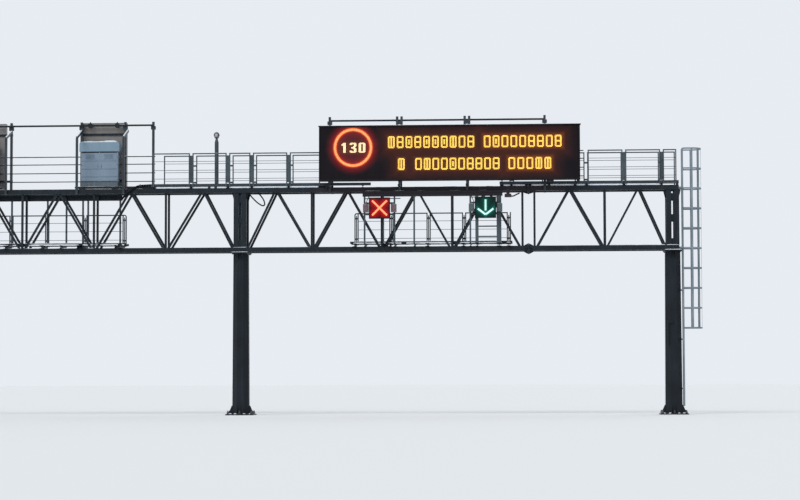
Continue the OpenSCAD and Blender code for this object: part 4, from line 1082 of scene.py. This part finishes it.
def make_hoses():
    bm = bmesh.new()
    for route in (LOOP, LEAD):
        add_hose(bm, smooth_route(route, 5), 0.0225, 0.0255)
    for k in range(3):
        lower = Vector((0, 0, BUNDLE_STEP * k))
        add_hose(bm, [p - lower for p in smooth_route(BUNDLE, 5)], 0.0160, 0.0178, 0.012)
    add_piece("cable_hoses", bm, CABLE)


def make_cable_clips():
    bm = bmesh.new()
    for x in (0.637, 0.320):
        add_turned(bm, (x, -0.300, 7.930), UP,
                   [(0, 0.018), (0.006, 0.026), (0.05, 0.026), (0.06, 0.020)], 16)
    for x in (-3.30, -3.62):
        add_box(bm, (x - 0.015, -0.462, 8.205), (x + 0.015, -0.4245, 8.325), 0.004)
    for x in (-1.110, -0.880):
        add_box(bm, (x - 0.050, -0.4245, HIGH_TOP + 0.001), (x + 0.050, -0.360, DECK_Z - 0.004), 0.006)
        for s in (-1, 1):
            add_nut(bm, (x + s * 0.026, -0.4240, 8.190), FRONT, 0.010, 0.007)
    add_piece("cable_clips", bm, RUBBER_AND_SHADOW)


def make_signal_fittings():
    """Rims of the lamp boxes, dark frames round the displays, and the stays above them."""
    bm = bmesh.new()
    for x in SIGNAL_X:
        for s in (-1, 1):
            c = x + s * LAMP_OFF
            z = LAMP_Z
            add_turned(bm, (c, -0.694, z), FRONT,
                       [(-0.001, 0.078), (0.012, 0.078), (0.014, 0.072), (0.006, 0.066)], 28)
            for dz in (-0.122, 0.122):
                for dx in (-0.08, 0.08):
                    add_nut(bm, (c + dx, -0.695, z + dz), FRONT, 0.007, 0.005)
            add_box(bm, (c - 0.03, SIGNAL_BACK - 0.001, z + 0.05), (c + 0.03, -0.485, z + 0.08), 0.003)
    add_piece("lamp_fittings", bm, LAMP)

    bm = bmesh.new()
    for x in SIGNAL_X:
        corners = [[[bm.verts.new((x + sx * half, y, SIGNAL_Z + sz * half))
                     for sx, sz in ((-1, -1), (1, -1), (1, 1), (-1, 1))]
                    for half in (0.337, 0.379)] for y in (-0.789, -0.779)]
        for k in range(4):
            m = (k + 1) % 4
            for inner, outer in corners:
                bm.faces.new((inner[k], inner[m], outer[m], outer[k]))
            for front, back in zip(*corners):
                bm.faces.new((front[k], front[m], back[m], back[k]))
    add_piece("signal_frames", bm, CASE)

    bm = bmesh.new()
    add_tube(bm, [(4.54, -0.530, 7.735), (5.80, -0.530, 7.735)], 0.017, 12)
    add_tube(bm, [(8.30, -0.530, 7.765), (9.36, -0.530, 7.765)], 0.016, 12)
    for x, lean in ((4.62, -1), (8.386, 1)):
        add_tube(bm, [(x - 0.05 * lean, -0.530, 7.81), (x + 0.02 * lean, -0.560, 7.66),
                      (x + 0.05 * lean, -0.600, 7.535)], 0.013, 10)
    add_piece("signal_stays", bm, RAIL)


def make_camera_parts():
    bm = bmesh.new()
    for z in (10.052, 10.100):
        add_turned(bm, (*CAMERA, z), UP,
                   [(0, 0.083), (0.002, 0.086), (0.008, 0.086), (0.010, 0.083)], 32)
    add_piece("camera_rings", bm, DOME)
    bm = bmesh.new()
    # Window of the dome camera, facing the front; its pale grey is a painted highlight.
    add_turned(bm, (*CAMERA, 10.165), (0, -1, -0.15),
               [(0.080, 0.074), (0.098, 0.052), (0.107, 0.028), (0.110, 0.008)], 24)
    add_piece("camera_window", bm, LENS)


make_snow()
make_splice_bolts()
make_leg_bolts()
make_railing_bolts()
make_joint_strips()
make_cage_rivets()
make_message()
make_signal_marks()
make_sign_back()
make_back_displays()
make_cabinet_fittings()
make_hoses()
make_cable_clips()
make_signal_fittings()
make_camera_parts()


# Floor, light and camera

SENSOR_MM = 36.0
FOCAL_PX = 2270.0
PHOTO_WIDTH = 800.0
EYE = (10.726, -81.4, 1.15)
YAW, PITCH, ROLL = 3.50, 3.345, -0.14


def make_floor():
    mesh = bpy.data.meshes.new("floor")
    half = 900.0
    corners = [(-half, -half, 0), (half, -half, 0), (half, half, 0), (-half, half, 0)]
    mesh.from_pydata(corners, [], [(0, 1, 2, 3)])
    obj = bpy.data.objects.new("floor", mesh)
    bpy.context.collection.objects.link(obj)
    mat, _, shader = new_material("pale floor")
    set_values(shader, {"Base Color": (0.80, 0.82, 0.84, 1), "Roughness": 0.9})
    mesh.materials.append(mat)


def make_light():
    """Soft even light of a dull winter day, and a pale wall behind."""
    world = bpy.data.worlds.new("studio")
    bpy.context.scene.world = world
    world.use_nodes = True
    tree = world.node_tree
    tree.nodes.clear()
    out = tree.nodes.new("ShaderNodeOutputWorld")
    soft = tree.nodes.new("ShaderNodeBackground")
    set_values(soft, {"Color": (0.93, 0.97, 1.0, 1), "Strength": 0.62})
    seen = tree.nodes.new("ShaderNodeBackground")
    set_values(seen, {"Color": (0.80, 0.84, 0.89, 1), "Strength": 1.0})
    path = tree.nodes.new("ShaderNodeLightPath")
    total = path.outputs["Is Camera Ray"]
    for name in ("Is Glossy Ray", "Is Transmission Ray"):
        total = maths(tree, "MAXIMUM", total, path.outputs[name])
    mix = tree.nodes.new("ShaderNodeMixShader")
    tree.links.new(total, mix.inputs["Fac"])
    tree.links.new(soft.outputs[0], mix.inputs[1])
    tree.links.new(seen.outputs[0], mix.inputs[2])
    tree.links.new(mix.outputs[0], out.inputs["Surface"])
    for name, turn, energy, angle in (("key", (48, 0, -32), 1.3, 28), ("fill", (62, 0, 150), 0.5, 40)):
        data = bpy.data.lights.new(name, "SUN")
        data.energy = energy
        data.angle = math.radians(angle)
        light = bpy.data.objects.new(name, data)
        light.rotation_euler = [math.radians(a) for a in turn]
        bpy.context.collection.objects.link(light)


def make_camera():
    data = bpy.data.cameras.new("camera")
    data.lens = SENSOR_MM * FOCAL_PX / PHOTO_WIDTH
    data.sensor_width = SENSOR_MM
    data.clip_end = 3000
    cam = bpy.data.objects.new("camera", data)
    turns = ((YAW, "Z"), (90 + PITCH, "X"), (ROLL, "Z"))
    first, second, third = (Matrix.Rotation(math.radians(angle), 4, axis) for angle, axis in turns)
    cam.location = EYE
    cam.rotation_euler = (first @ second @ third).to_euler()
    bpy.context.collection.objects.link(cam)
    bpy.context.scene.camera = cam


make_floor()
make_light()
make_camera()
bpy.context.scene.view_settings.view_transform = "Standard"
